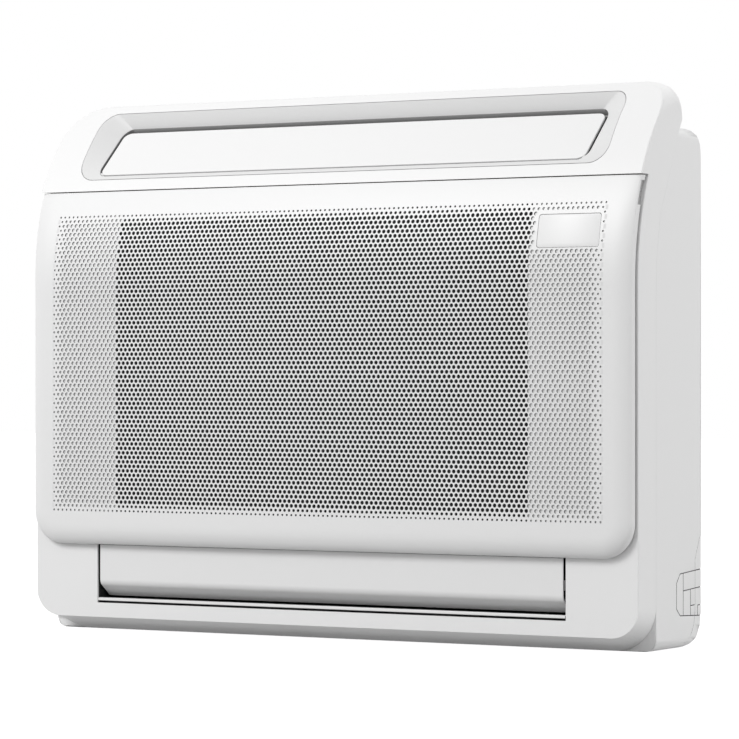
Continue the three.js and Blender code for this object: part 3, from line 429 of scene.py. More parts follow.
panel = {
    "half": 394.5 * mm, "bottom": 102 * mm, "topDrop": 107 * mm, "corner": 38 * mm,
    "round": 22 * mm, "fall": 13.5 * mm, "rim": 17 * mm, "crown": 2 * mm, "wall": 2.5 * mm,
    "fade": 130 * mm, "least": 0.25,  # the border falls to this share of its depth at the hood
    "seat": 14.9 * mm,  # where the rim meets the casing's face
    "insets": 10, "spans": 24, "spare": 60 * mm, "rowsPast": 6,
}
catchNotch = {
    "inner": 385.6 * mm, "outer": 400 * mm, "low": 481.6 * mm, "high": 508.4 * mm,
    "near": 8.1 * mm, "far": 24 * mm,
}
holes = {
    "pitch": 6 * mm, "rows": 67, "radius": 2.25 * mm, "sides": 12, "bottom": 141.7 * mm,
    "wall": 1.2 * mm, "dimple": 1.6 * mm,
    "open": 272 * mm, "reach": 360 * mm,  # half widths of the open part and of the whole field
    "outer": 0.56, "second": 0.78,  # sizes of the two outermost rings of holes
}
window = {
    "left": 281 * mm, "width": 75 * mm, "topDrop": 148 * mm, "height": 36 * mm,
    "corner": 3 * mm, "cornerCuts": 5, "strips": 7, "edge": 0.3 * mm,
    "gap": 0.45 * mm, "sunk": 0.15 * mm, "wall": 2 * mm,
    "block": (282 * mm, 354 * mm),  # first and last column of holes that it takes out
}
rowStep = holes["pitch"] * math.sin(math.pi / 3)
fieldHalf = holes["reach"] + holes["pitch"] / 2
fieldBottom = holes["bottom"] - rowStep / 2
fieldTop = fieldBottom + holes["rows"] * rowStep
pastHole = holes["radius"] * 1.02
panelTop = topZ - panel["topDrop"]


def followFront(obj):
    # lays flat work on the leaning, slightly crowned front
    def lay(co):
        co[:, 1] += leanAt(co[:, 2]) + panel["crown"] * (co[:, 0] / panel["half"]) ** 2
        return co

    moved(obj, lay)


def windowRows():
    # first and last row of holes that the window plate takes out
    low = topZ - window["topDrop"] - window["height"]
    first = math.floor((low - fieldBottom) / rowStep)
    last = math.ceil((topZ - window["topDrop"] - fieldBottom) / rowStep)
    return first, last - 1


def cellOf(x, z):
    # row of a point in the hole lattice and the middle of its cell
    row = np.round((z - holes["bottom"]) / rowStep)
    shift = (row % 2) * holes["pitch"] / 2
    return row, np.round((x - shift) / holes["pitch"]) * holes["pitch"] + shift


def roundBorder(skirt, deep):
    # steps the front face inwards and forwards along a quarter circle
    pick(skirt, "face", lambda c, n: n.y < -0.9)
    angles = [i / panel["insets"] * math.pi / 2 for i in range(panel["insets"] + 1)]
    for a, b in zip(angles, angles[1:]):
        across = panel["round"] * (math.cos(a) - math.cos(b))
        forward = deep * (math.sin(b) - math.sin(a))
        bpy.ops.mesh.inset(thickness=across, depth=forward)
    leave()


def openField(skirt):
    # lines that let the front lean and bow, then the space that the holes fill
    for k in range(panel["spans"] + 1):
        cutAt(skirt, (fieldHalf * (2 * k / panel["spans"] - 1), 0, 0), (1, 0, 0))
    for row in range(-panel["rowsPast"], holes["rows"] + panel["rowsPast"]):
        cutAt(skirt, (0, 0, fieldBottom + row * rowStep), (0, 0, 1))
    pick(skirt, "face", lambda c, n: abs(c.x) < fieldHalf and fieldBottom < c.z < fieldTop
         and c.y < frontY + 0.1 * mm)
    bpy.ops.mesh.delete(type="FACE")
    leave()


def fadeBorder(skirt, deep):
    # the rounded border grows shallow towards the hood, and the rim stays on the casing's face
    def fade(co):
        share = np.clip((co[:, 2] - (panelTop - panel["fade"])) / panel["fade"], 0, 1)
        kept = 1 - (1 - panel["least"]) * share ** 2 * (3 - 2 * share)
        far = co[:, 1] - frontY
        crown = panel["crown"] * (co[:, 0] / panel["half"]) ** 2
        co[:, 1] = frontY + np.where(far > deep + 0.1 * mm, panel["seat"] - crown, far * kept)
        return co

    moved(skirt, fade)


def cutNotches(skirt):
    # room for the catches at both sides
    low, high = catchNotch["low"], catchNotch["high"]
    middle = (low + high) / 2
    slope = (leanAt(high) - leanAt(low)) / (high - low)
    for side in (-1, 1):
        x0, x1 = sorted((side * catchNotch["inner"], side * catchNotch["outer"]))
        notch = box("notch", (x0, frontY + catchNotch["near"], low),
                    (x1, frontY + catchNotch["far"], high))
        pushBack(notch, lambda z: leanAt(middle) + slope * (z - middle))
        cutBy(skirt, notch)


def makeSkirt():
    half, bottom = panel["half"], panel["bottom"]
    back = frontY + panel["fall"] - panel["crown"]
    rim = frontY + panel["rim"]
    skirt = upright("panelSkirt", -half, half, bottom, panelTop + panel["spare"], rim)
    for x in (-half, half):
        roundCorner(skirt, x, bottom, panel["corner"], 12)
    pickAll(skirt)
    bpy.ops.mesh.extrude_region_move(TRANSFORM_OT_translate={"value": (0, back - rim, 0)})
    pick(skirt, "face", lambda c, n: abs(c.y - rim) < 1e-6)
    bpy.ops.mesh.delete(type="FACE")
    roundBorder(skirt, back - frontY)
    cutAt(skirt, (0, 0, panelTop), (0, 0, 1), clearAbove=True)
    openField(skirt)
    fadeBorder(skirt, back - frontY)
    followFront(skirt)
    applied(skirt, "SOLIDIFY", thickness=panel["wall"], offset=-1, use_even_offset=False)
    cutNotches(skirt)
    smooth(skirt, 40)
    return skirt


def makeCell(name, blind):
    # one cell of the lattice with its hole, or with a dimple where blind
    p = holes["pitch"] / 2
    cell = upright(name, -p, p, -rowStep / 2, rowStep / 2, 0)
    outlineOnly(cell)
    bpy.ops.object.select_all(action="DESELECT")
    bpy.ops.mesh.primitive_circle_add(
        vertices=holes["sides"], radius=holes["radius"], rotation=(math.pi / 2, 0, 0))
    cell = joined(name, [cell, settled("ring")])
    bridged(cell)
    outward(cell)
    facing(cell)
    depth = holes["dimple"] if blind else holes["wall"]
    pick(cell, "edge", lambda a, b: max(math.hypot(a.x, a.z), math.hypot(b.x, b.z)) < pastHole)
    bpy.ops.mesh.extrude_region_move(TRANSFORM_OT_translate={"value": (0, depth, 0)})
    if blind:
        bpy.ops.mesh.edge_face_add()
    leave()
    if not blind:
        pick(cell, "face", lambda c, n: abs(c.y) < 1e-7)
        bpy.ops.mesh.duplicate_move(TRANSFORM_OT_translate={"value": (0, depth, 0)})
        bpy.ops.mesh.flip_normals()
        leave()
        merged(cell)
    cell.data.materials.append(finishes["panel"])
    # the walls of the holes and dimples get a painted shade grey
    marked(cell, finishes["holeWallShade"], lambda c, n: 0.05 * mm < c.y < depth - 0.05 * mm)
    return cell


def layCells(cell, name, x, across, row, upward):
    # a block of cells: across columns from x, and every second row from row
    block = copied(cell, name)
    block.location = (x, frontY, holes["bottom"] + row * rowStep)
    bpy.ops.object.transform_apply(location=True, rotation=True, scale=True)
    repeated(block, across, (holes["pitch"], 0, 0))
    repeated(block, upward, (0, 0, 2 * rowStep))
    return block


def shrinkEdgeHoles(obj):
    # the outermost holes are smallest, the next ones a little larger
    def shrink(co):
        row, x = cellOf(co[:, 0], co[:, 2])
        z = holes["bottom"] + row * rowStep
        far = np.hypot(co[:, 0] - x, co[:, 2] - z)
        # how many rows or columns in from the edge of the field
        inset = np.minimum(np.minimum(row, holes["rows"] - 1 - row),
                           np.round((fieldHalf - np.abs(x)) / holes["pitch"] - 0.75))
        size = np.select([inset < 1, inset < 2], [holes["outer"], holes["second"]], 1.0)
        size = np.where(far < pastHole, size, 1.0)
        co[:, 0] = x + (co[:, 0] - x) * size
        co[:, 2] = z + (co[:, 2] - z) * size
        return co

    moved(obj, shrink)


def takeOutWindow(obj):
    first, last = windowRows()
    low, high = window["block"]
    half = holes["pitch"] / 2

    def inBlock(center, normal):
        row, x = cellOf(center.x, center.z)
        return first <= row <= last and low - half - 1e-6 <= x <= high + half + 1e-6

    pick(obj, "face", inBlock)
    bpy.ops.mesh.delete(type="FACE")
    leave()


def makeFields():
    # open holes in three bands, blind ones at both sides
    pitch, rows = holes["pitch"], holes["rows"]
    openCell, blindCell = makeCell("openCell", False), makeCell("blindCell", True)
    even = int(holes["open"] / pitch)
    odd = int((holes["open"] + pitch / 2) / pitch)
    evenSide = int(holes["reach"] / pitch) - even
    oddSide = int((holes["reach"] + pitch / 2) / pitch) - odd
    fields = []
    band = math.ceil(rows / 3 / 2) * 2
    for start in range(0, rows, band):
        count = min(band, rows - start)
        a = layCells(openCell, "evenRows", -even * pitch, 2 * even + 1, start, math.ceil(count / 2))
        b = layCells(openCell, "oddRows", -(odd - 0.5) * pitch, 2 * odd, start + 1, count // 2)
        fields.append(joined("panelField_%d" % (len(fields) + 1), [a, b]))
    for side, label in ((-1, "left"), (1, "right")):
        evenX = (even + 1) * pitch if side > 0 else -(even + evenSide) * pitch
        oddX = (odd + 0.5) * pitch if side > 0 else -(odd + oddSide - 0.5) * pitch
        a = layCells(blindCell, "evenRows", evenX, evenSide, 0, math.ceil(rows / 2))
        b = layCells(blindCell, "oddRows", oddX, oddSide, 1, rows // 2)
        edge = side * fieldHalf
        low = fieldBottom + rowStep
        strip = upright("edge", *sorted((edge, edge - side * pitch / 2)), low, low + rowStep, frontY)
        repeated(strip, rows // 2, (0, 0, 2 * rowStep))
        fields.append(joined("panelDimples_" + label, [a, b, strip]))
    for field in fields:
        shrinkEdgeHoles(field)
    for cell in (openCell, blindCell):
        bpy.data.objects.remove(cell)
    return fields


def makeWindowSurround():
    # plain plate round the window, up to the cells
    first, last = windowRows()
    p = holes["pitch"] / 2
    x0, x1 = window["block"][0] - p, window["block"][1] + p
    z0, z1 = fieldBottom + first * rowStep, fieldBottom + (last + 1) * rowStep
    plate = upright("windowSurround", x0, x1, z0, z1, frontY)
    g, corner = window["gap"], window["corner"]
    left, right = window["left"] - g, window["left"] + window["width"] + g
    top = topZ - window["topDrop"] + g
    bottom = top - window["height"] - 2 * g
    hole = roundedPlate("windowHole", left, right, bottom, top, frontY,
                        corner, corner, window["cornerCuts"])
    for part in (plate, hole):
        outlineOnly(part)
    plate = joined("windowSurround", [plate, hole])
    bridged(plate)
    facing(plate)
    pick(plate, "edge", lambda a, b: max(a.x, b.x) < right + g and min(a.x, b.x) > left - g
         and max(a.z, b.z) < top + g and min(a.z, b.z) > bottom - g)
    bpy.ops.mesh.extrude_edges_move(TRANSFORM_OT_translate={"value": (0, window["wall"], 0)})
    leave()
    for row in range(first + 1, last + 1):
        cutAt(plate, (0, 0, fieldBottom + row * rowStep), (0, 0, 1))
    # half cells that the odd rows leave open at both ends
    odd = first + (first + 1) % 2
    low = fieldBottom + odd * rowStep
    strips = [upright("strip", x, x + p, low, low + rowStep, frontY) for x in (x0 - p, x1)]
    for strip in strips:
        repeated(strip, (last - odd) // 2 + 1, (0, 0, 2 * rowStep))
    return joined("windowSurround", [plate, *strips])


def makeWindow():
    left, right = window["left"], window["left"] + window["width"]
    top = topZ - window["topDrop"]
    bottom = top - window["height"]
    plate = roundedPlate("displayWindow", left, right, bottom, top, frontY + window["sunk"],
                         window["corner"], window["corner"], window["cornerCuts"])
    sliced(plate, "z", top, bottom, window["strips"])
    followFront(plate)
    applied(plate, "SOLIDIFY", thickness=window["wall"], offset=-1)
    beveled(plate, window["edge"])
    smooth(plate, 40)
    finished(plate, "panel", finishes["window"], ["display_window"])


def makePanel():
    skirt = makeSkirt()
    fields = makeFields()
    surround = makeWindowSurround()
    for field in fields:
        if field.name.endswith("right"):
            takeOutWindow(field)
        followFront(field)
        finished(field, "panel")
    followFront(surround)
    smooth(surround, 30)
    finished(surround, "panel", finishes["panel"])
    finished(skirt, "panel", finishes["panel"], ["front_panel"])
    makeWindow()
    print("panel made")


makePanel()

casing = {
    "half": cadHigh.x, "wall": 2.5 * mm, "face": 17.8 * mm, "under": 16.6 * mm, "band": 60 * mm,
    "faceCorner": 33 * mm, "footCorner": 48 * mm, "topCorner": 38 * mm, "edge": 1.5 * mm,
    "hoodFootDrop": 105.7 * mm, "bend": topZ - hood["leanDrop"], "shoulder": 9 * mm, "turn": 14 * mm,
    "back": 131 * mm, "backIn": 7 * mm, "backTurn": 12 * mm, "backDrop": 16 * mm, "nose": 12 * mm,
    "backLeast": 1 * mm, "backFootDrop": 29 * mm, "riseDrop": 49.6 * mm,
    "open": 211 * mm,  # how far back the hollow is cut, past the shell's own rear
    "seamDrops": [d * mm for d in (240.5, 195.4, 150.4, 49.6)],  # bends of the rear edge
    "reach": 0.25 * mm,
    "steps": 14, "underSteps": 3, "faceSteps": 6, "turnSteps": 8, "backSteps": 6,
    "edgeSteps": 4, "stationGap": 0.2 * mm,
    "intakeHalf": 272 * mm, "intakeLow": 136 * mm, "intakeHighDrop": 131 * mm,
    "outletHalf": 309.3 * mm, "outletLow": 33.4 * mm, "outletHigh": 103 * mm, "outletDeep": 50 * mm,
}


def bite(x, side, radius):
    # how far a round corner that ends at side has bitten in at x
    d = min(max(abs(x) - side + radius, 0), radius)
    return radius - math.sqrt(radius ** 2 - d ** 2)


def casingRing(x, t):
    # side section of the front casing at x, shrunk by t, as depths and heights
    side = casing["half"] - t
    topBite = bite(x, side, casing["topCorner"] - t)
    top = topZ - t - topBite
    front = t + bite(x, side, casing["edge"])
    low = casing["under"] + t + bite(x, side, casing["faceCorner"] - t)
    foot = t + bite(x, side, casing["footCorner"] - t)
    pulled = casing["backIn"] * topBite / casing["topCorner"]
    nose = casing["nose"] * topBite / casing["topCorner"]
    band, face, back = casing["band"], casing["face"] + front, casing["back"] - t - pulled
    bend, hoodFoot = casing["bend"], topZ - casing["hoodFootDrop"] + t
    shoulder, rise = top - casing["shoulder"], topZ - casing["riseDrop"]
    # underside, upright face, leaning face and hood
    steps = casing["underSteps"]
    ring = [(band + (face - band) * k / steps, foot + (low - foot) * k / steps) for k in range(steps + 1)]
    steps = casing["faceSteps"]
    ring += [(face, low + (bend - low) * k / steps) for k in range(1, steps)]
    ring += [(face + leanAt(z), z) for z in np.linspace(bend, hoodFoot, casing["steps"])]
    ring += [(front + leanAt(z), z) for z in np.linspace(hoodFoot, shoulder, 2 * casing["steps"])]
    # over the top and round its rear edge
    for k in range(1, casing["turnSteps"] + 1):
        share = k / casing["turnSteps"]
        ring.append((front + leanAt(shoulder) + casing["turn"] * share,
                     top - casing["shoulder"] * (1 - share) ** 2))
    for k in range(casing["backSteps"] + 1):
        a = k / casing["backSteps"] * math.pi / 2
        ring.append((back - casing["backTurn"] * (1 - math.sin(a)),
                     top - casing["backDrop"] * (1 - math.cos(a)) + nose))
    ring.append((back, min(ring[-1][1] - casing["backLeast"], topZ - casing["backFootDrop"])))
    if t:
        inside = band + leanAt(rise) - t - pulled
        ring += [(inside, rise), (casing["open"], rise), (casing["open"], foot)]
    else:
        # down the seam with the rear casing
        seam = topZ - np.array(casing["seamDrops"])
        for z in np.linspace(rise, seam[0], casing["steps"]):
            ring.append((band + casing["reach"] + np.interp(z, seam, leanAt(seam)), z))
        ring.append((band, foot))
    return [(x, frontY + y, z) for y, z in ring]


def casingStations(t):
    # where the sections stand: close together in the round corners
    side = casing["half"] - t
    corners = [(casing[name] - t, casing["steps"]) for name in ("faceCorner", "footCorner", "topCorner")]
    reach = {0.0, 0.5, 1.0}
    for radius, count in (*corners, (casing["edge"], casing["edgeSteps"])):
        for k in range(count + 1):
            reach.add(round((side - radius + radius * math.sin(k / count * math.pi / 2)) / side, 6))
    kept = []
    for r in sorted(reach):
        if not kept or (r - kept[-1]) * side > casing["stationGap"] or r == 1:
            kept.append(r)
    return [-r * side for r in reversed(kept)] + [r * side for r in kept[1:]]


def makeFrontCasing():
    made, inner = [lofted("casingShell", np.array([casingRing(x, t) for x in casingStations(t)]))
                   for t in (0, casing["wall"])]
    cutBy(made, inner)
    intake = box("intake", (-casing["intakeHalf"], frontY, casing["intakeLow"]),
                 (casing["intakeHalf"], frontY + casing["band"], topZ - casing["intakeHighDrop"]))
    outlet = box("outlet", (-casing["outletHalf"], frontY, casing["outletLow"]),
                 (casing["outletHalf"], frontY + casing["outletDeep"], casing["outletHigh"]))
    opening = thickPlate("recessOpening", -recess["half"], recess["half"], topZ - recess["lowDrop"],
                         topZ - recess["highDrop"], frontY, frontY + recess["deep"],
                         recess["low"], recess["high"])
    for cutter in (intake, outlet, opening):
        cutBy(made, cutter)
    made.name = "frontCasingSkin"
    smooth(made, 30)
    evened(made)
    finished(made, "cabinet", finishes["casing"], ["front_casing"])
    print("front casing made", len(made.data.polygons))


recess = {
    "half": 350 * mm, "lowDrop": 92.6 * mm, "highDrop": 10 * mm, "low": 22 * mm, "high": 18 * mm,
    "innerHalf": 324.5 * mm, "innerLowDrop": 88 * mm, "innerHighDrop": 29 * mm, "innerCorner": 12 * mm,
    "gap": 0.5 * mm, "proud": 0.1 * mm, "throat": 9 * mm, "shadeFrom": 0.8 * mm, "skirt": 3 * mm,
    "wall": 1.6 * mm, "edge": 0.4 * mm, "cuts": 8, "deep": 118 * mm,
}
flap = {
    "half": 321 * mm, "lowDrop": 86.3 * mm, "lowY": 37.7 * mm,
    "length": 76.3 * mm, "rise": 52.3 * mm,  # along the plate and straight up
    "corner": 10 * mm, "wall": 3 * mm, "edge": 0.9 * mm, "axisY": 42.86 * mm, "axisDrop": 86.2 * mm,
    "pin": 2.5 * mm, "pinInset": 4 * mm, "pinEnd": 333.6 * mm,
    "armHalf": 2.5 * mm, "armFront": 2.2 * mm, "armBack": 2.6 * mm, "armRise": 2.4 * mm,
}
flap["run"] = math.sqrt(flap["length"] ** 2 - flap["rise"] ** 2)
flap["slope"] = flap["run"] / flap["rise"]


def flapDepth(z):
    # depth behind the front plane of the flap's plane at a height
    return flap["lowY"] + (z - (topZ - flap["lowDrop"])) * flap["slope"]


def bezelLoop(name, half, low, high, lowCorner, highCorner, depthAt):
    # a rounded outline with finer sides, pushed back to its own depth
    loop = roundedPlate(name, -half, half, low, high, frontY, lowCorner, highCorner)
    outlineOnly(loop)
    pick(loop, "edge", lambda a, b: abs(a.x - b.x) < 1e-6 and abs(a.z - b.z) > 20 * mm)
    bpy.ops.mesh.subdivide(number_cuts=recess["cuts"])
    leave()
    pushBack(loop, depthAt)
    return loop


def makeBezel():
    g, corner = recess["gap"], recess["innerCorner"]
    low, high = topZ - recess["innerLowDrop"], topZ - recess["innerHighDrop"]
    outerLoop = bezelLoop(
        "outer", recess["half"] - g, topZ - recess["lowDrop"] + g, topZ - recess["highDrop"] - g,
        recess["low"], recess["high"], lambda z: leanAt(z) - recess["proud"])
    innerLoop = bezelLoop("inner", recess["innerHalf"], low, high, corner, corner, flapDepth)
    bezel = joined("upperBezelSkin", [outerLoop, innerLoop])
    bridged(bezel)
    facing(bezel)

    def within(co, margin):
        return abs(co.x) < recess["innerHalf"] + margin and low - margin < co.z < high + margin

    def onCasing(co):
        return abs(co.y - frontY - leanAt(co.z) + recess["proud"]) < 0.05 * mm

    margin = 0.5 * mm
    pick(bezel, "edge", lambda a, b: within(a, margin) and within(b, margin))
    share = recess["throat"] / flap["length"]
    inwards = (0, flap["rise"] * share, -flap["run"] * share)
    bpy.ops.mesh.extrude_edges_move(TRANSFORM_OT_translate={"value": inwards})
    pick(bezel, "edge", lambda a, b: onCasing(a) and onCasing(b))
    bpy.ops.mesh.extrude_edges_move(TRANSFORM_OT_translate={"value": (0, recess["skirt"], 0)})
    leave()
    applied(bezel, "SOLIDIFY", thickness=recess["wall"], offset=-1, use_even_offset=False)
    beveled(bezel, recess["edge"])
    smooth(bezel, 40)
    evened(bezel)
    finished(bezel, "cabinet", finishes["bezel"], ["upper_bezel"])
    # the throat behind the flap gets the duct's grey as painted shade
    marked(bezel, finishes["ductGreyAndThroatShade"], lambda c, n: within(c, margin + recess["wall"])
           and c.y > frontY + flapDepth(c.z) + recess["shadeFrom"])


def makeFlap():
    low = topZ - flap["lowDrop"]
    plate = roundedPlate("upperFlapSkin", -flap["half"], flap["half"], low, low + flap["length"],
                         frontY + flap["lowY"], flap["corner"], flap["corner"])
    pickAll(plate)
    bpy.ops.transform.rotate(
        value=math.atan2(flap["run"], flap["rise"]), orient_axis="X",
        center_override=(0, frontY + flap["lowY"], low))
    leave()
    applied(plate, "SOLIDIFY", thickness=flap["wall"], offset=-1)
    beveled(plate, flap["edge"], 3, 40)
    axisY, axisZ = frontY + flap["axisY"], topZ - flap["axisDrop"]
    parts = [plate]
    outermost = flap["half"] - flap["armHalf"]
    for x in (-outermost, -flap["half"] / 3, flap["half"] / 3, outermost):
        parts.append(box("arm", (x - flap["armHalf"], axisY - flap["armFront"], axisZ - flap["armRise"]),
                         (x + flap["armHalf"], axisY + flap["armBack"], axisZ + flap["armRise"])))
    parts += pinPair(flap["pin"], flap["half"] - flap["pinInset"], flap["pinEnd"], axisY, axisZ)
    made = joined("upperFlapSkin", parts)
    smooth(made, 40)
    evened(made)
    finished(made, "flap", finishes["flap"], ["upper_flap"])


louver = {
    "half": 305.9 * mm, "top": 101.4 * mm, "bend": 61 * mm, "faceY": 18 * mm, "radius": 10 * mm,
    "curl": math.radians(52), "tail": 20 * mm, "wall": 2.4 * mm, "edge": 0.8 * mm, "steps": 12,
    "axisY": 41 * mm, "axisZ": 72 * mm, "pin": 2.5 * mm, "pinEnd": 313.3 * mm,
    "armHalf": 1.5 * mm, "armFront": 1 * mm, "armBack": 3 * mm, "armLow": 66 * mm, "armHigh": 77 * mm,
}


def makeLouver():
    half, bend, curl = louver["half"], louver["bend"], louver["curl"]
    y = frontY + louver["faceY"]
    blade = upright("lowerLouverSkin", -half, half, bend, louver["top"], y)
    pick(blade, "edge", lambda a, b: max(a.z, b.z) < bend + 1e-6)
    bpy.ops.mesh.spin(steps=louver["steps"], angle=-curl, axis=(1, 0, 0),
                      center=(0, y + louver["radius"], bend))
    away = (0, louver["tail"] * math.sin(curl), -louver["tail"] * math.cos(curl))
    bpy.ops.mesh.extrude_edges_move(TRANSFORM_OT_translate={"value": away})
    leave()
    outward(blade)
    facing(blade)
    applied(blade, "SOLIDIFY", thickness=louver["wall"], offset=-1)
    beveled(blade, louver["edge"])
    axisY, outermost = frontY + louver["axisY"], half - louver["armHalf"]
    parts = [blade]
    for x in (-outermost, 0, outermost):
        parts.append(box("arm", (x - louver["armHalf"], y + louver["armFront"], louver["armLow"]),
                         (x + louver["armHalf"], axisY + louver["armBack"], louver["armHigh"])))
    parts += pinPair(louver["pin"], outermost, louver["pinEnd"], axisY, louver["axisZ"])
    made = joined("lowerLouverSkin", parts)
    smooth(made, 35)
    evened(made)
    finished(made, "louver", finishes["louver"], ["lower_louver"])


outletLip = {
    "half": 308.6 * mm, "low": 36 * mm, "high": 39.2 * mm, "frontY": 17.6 * mm, "backY": 26 * mm,
    "edge": 0.5 * mm,
}


def makeLip():
    low = (-outletLip["half"], frontY + outletLip["frontY"], outletLip["low"])
    high = (outletLip["half"], frontY + outletLip["backY"], outletLip["high"])
    lip = box("outletLip", low, high)
    beveled(lip, outletLip["edge"], 2, 40)
    finished(lip, "cabinet", finishes["louver"])


net = {
    "half": 270 * mm, "middle": 3 * mm, "low": 134 * mm, "highDrop": 128 * mm, "behind": 23 * mm,
    "rows": 24,
}


def makeFilterShadeSheets():
    # closed sheets where the fine mesh of the two filters stands, painted near black as the shade inside
    # the unit
    low, high = net["low"], topZ - net["highDrop"]
    for side, label in ((-1, "left"), (1, "right")):
        x0, x1 = sorted((side * net["middle"], side * net["half"]))
        sheet = upright("filterShadeSheet_" + label, x0, x1, low, high, frontY + net["behind"])
        sliced(sheet, "z", low, high, net["rows"])
        pushBack(sheet, leanAt)
        smooth(sheet, 40)
        finished(sheet, "cabinet", finishes["filter"])


holeShade = {
    "half": 276 * mm, "low": 137 * mm, "highDrop": 131.5 * mm, "behind": 2.4 * mm, "rows": 24,
    "columns": 12,
}


def makeHoleShade():
    # a closed sheet close behind the panel's open holes, painted near black as the shade inside them
    half, low, high = holeShade["half"], holeShade["low"], topZ - holeShade["highDrop"]
    sheet = upright("panelHoleShade", -half, half, low, high, frontY + holeShade["behind"])
    sliced(sheet, "z", low, high, holeShade["rows"])
    sliced(sheet, "x", -half, half, holeShade["columns"])
    followFront(sheet)
    smooth(sheet, 40)
    finished(sheet, "panel", finishes["filter"])


makeFrontCasing()
makeBezel()
makeFlap()
makeLouver()
makeLip()
makeFilterShadeSheets()
makeHoleShade()
print("outlets made")

scores = {
    "nodes": ("rear_casing", "corner_cover_left", "corner_cover_right"),
    "low": 14 * mm, "high": 125 * mm, "shallow": 0.02 * mm, "deep": 1 * mm,
}


def inScoreShade(c, n):
    # the floors of the scored lines and seams, a little under the side walls, where painted shade near
    # black goes
    sunk = cadHigh.x - abs(c.x)
    return scores["shallow"] < sunk < scores["deep"] and scores["low"] < c.z < scores["high"] and c.y > 0


for node, finish, slot in (
    ("rear_casing", "rear", "soft_white"),
    ("corner_cover_left", "rear", "soft_white"),
    ("corner_cover_right", "rear", "soft_white"),
    ("back_frame", "rear", "soft_white"),
    ("lower_duct", "ductBlack", "grey"),
    ("upper_duct", "ductGreyAndThroatShade", "grey"),
    ("panel_catch_left", "catch", "grey"),
    ("panel_catch_right", "catch", "grey"),
):
    skin = softened(node, finish)
    # the floors of the scored lines and seams get painted shade
    if node in scores["nodes"]:
        marked(skin, finishes["seam"], inScoreShade)
print("casings made")

innerNodes = {
    "board": ("display_board", "control_board"),
    "ductGreyAndThroatShade": ("air_guide_left", "air_guide_right", "vane_link",
                 *["vane_%d" % i for i in range(1, 9)]),
    "steel": ("flap_motor", "louver_motor", "fan_motor", "motor_shaft", "fan_nut", "motor_bracket",
              "control_box", "control_lid"),
    # the filters are near black as painted shade inside the unit
    "filter": ("filter_left", "filter_right"),
    "foil": ("evaporator_fins",),
    "copper": ("coil_end_left", "coil_end_right", "suction_pipe", "liquid_pipe"),
    "brass": ("suction_flare_nut", "liquid_flare_nut"),
    "fanGrey": ("drain_pan", "bell_mouth", "fan_wheel", "terminal_block"),
}
for finish, nodes in innerNodes.items():
    for node in nodes:
        mesh = frame["nodes"][node].data
        mesh.materials.clear()
        mesh.materials.append(finishes[finish])
print("inner parts finished")

studio = {
    "floor": 12, "floorColor": (0.34, 0.34, 0.34), "glow": 0.95, "world": 0.58,
    "key": {"place": (-1.7, -3.4, 2.8), "size": 1.6, "power": 105},
    "fill": {"place": (3.8, 0.6, 1.2), "size": 2.4, "power": 40},
    "back": {"place": (0.6, 2.8, 2.6), "size": 2.4, "power": 12},
}


def shownTo(nodes, links, seen):
    # 1 for rays that look at the background: from the camera, in a reflection or through glass
    total = seen.outputs["Is Camera Ray"]
    for label in ("Is Glossy Ray", "Is Transmission Ray"):
        larger = nodes.new("ShaderNodeMath")
        larger.operation = "MAXIMUM"
        links.new(total, larger.inputs[0])
        links.new(seen.outputs[label], larger.inputs[1])
        total = larger.outputs[0]
    return total


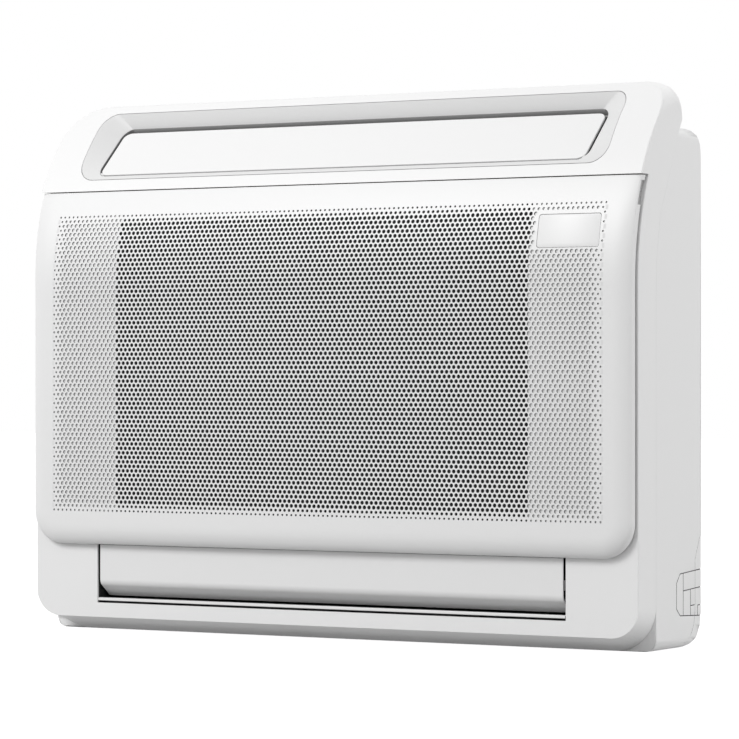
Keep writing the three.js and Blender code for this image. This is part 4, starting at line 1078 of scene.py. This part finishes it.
def makeFloor():
    bpy.ops.object.select_all(action="DESELECT")
    bpy.ops.mesh.primitive_plane_add(size=2 * studio["floor"])
    floor = bpy.context.object
    floor.name = "studioFloor"
    material = bpy.data.materials.new("floorPaper")
    material.use_nodes = True
    nodes, links = material.node_tree.nodes, material.node_tree.links
    shader = nodes["Principled BSDF"]
    shader.inputs["Base Color"].default_value = (*studio["floorColor"], 1)
    shader.inputs["Roughness"].default_value = 0.9
    glow = nodes.new("ShaderNodeEmission")
    glow.inputs["Strength"].default_value = studio["glow"]
    nothing = nodes.new("ShaderNodeEmission")
    nothing.inputs["Strength"].default_value = 0
    seen = nodes.new("ShaderNodeLightPath")
    choose = nodes.new("ShaderNodeMixShader")
    added = nodes.new("ShaderNodeAddShader")
    links.new(shownTo(nodes, links, seen), choose.inputs["Fac"])
    links.new(nothing.outputs[0], choose.inputs[1])
    links.new(glow.outputs[0], choose.inputs[2])
    links.new(shader.outputs[0], added.inputs[0])
    links.new(choose.outputs[0], added.inputs[1])
    links.new(added.outputs[0], nodes["Material Output"].inputs["Surface"])
    floor.data.materials.append(material)


def makeWorld():
    world = bpy.data.worlds.new("studioWorld")
    bpy.context.scene.world = world
    world.use_nodes = True
    nodes, links = world.node_tree.nodes, world.node_tree.links
    background = nodes["Background"]
    background.inputs["Color"].default_value = (1, 1, 1, 1)
    seen = nodes.new("ShaderNodeLightPath")
    level = nodes.new("ShaderNodeMapRange")
    level.inputs["To Min"].default_value = studio["world"]
    level.inputs["To Max"].default_value = 1
    links.new(shownTo(nodes, links, seen), level.inputs["Value"])
    links.new(level.outputs["Result"], background.inputs["Strength"])


def makeLamp(name, place, size, power):
    lamp = bpy.data.lights.new(name, "AREA")
    lamp.size = size
    lamp.energy = power
    obj = bpy.data.objects.new(name, lamp)
    bpy.context.scene.collection.objects.link(obj)
    obj.location = place
    aim = Vector((0, 0, topZ / 2)) - Vector(place)
    obj.rotation_euler = aim.to_track_quat("-Z", "Y").to_euler()


makeFloor()
makeWorld()
for lampName in ("key", "fill", "back"):
    makeLamp(lampName, **studio[lampName])
print("studio made")

camera = {
    "lens": 172.9, "sensor": 36, "far": 60,
    "place": (2.103, -3.479, 0.296), "azimuth": 31, "tilt": 0.137,
}


def makeCamera():
    data = bpy.data.cameras.new("photoCamera")
    data.lens = camera["lens"]
    data.sensor_width = camera["sensor"]
    data.clip_end = camera["far"]
    obj = bpy.data.objects.new("photoCamera", data)
    bpy.context.scene.collection.objects.link(obj)
    obj.location = camera["place"]
    obj.rotation_euler = (math.radians(90 + camera["tilt"]), 0, math.radians(camera["azimuth"]))
    bpy.context.scene.camera = obj


makeCamera()
bpy.context.scene.view_settings.view_transform = "Standard"
bpy.context.view_layer.update()
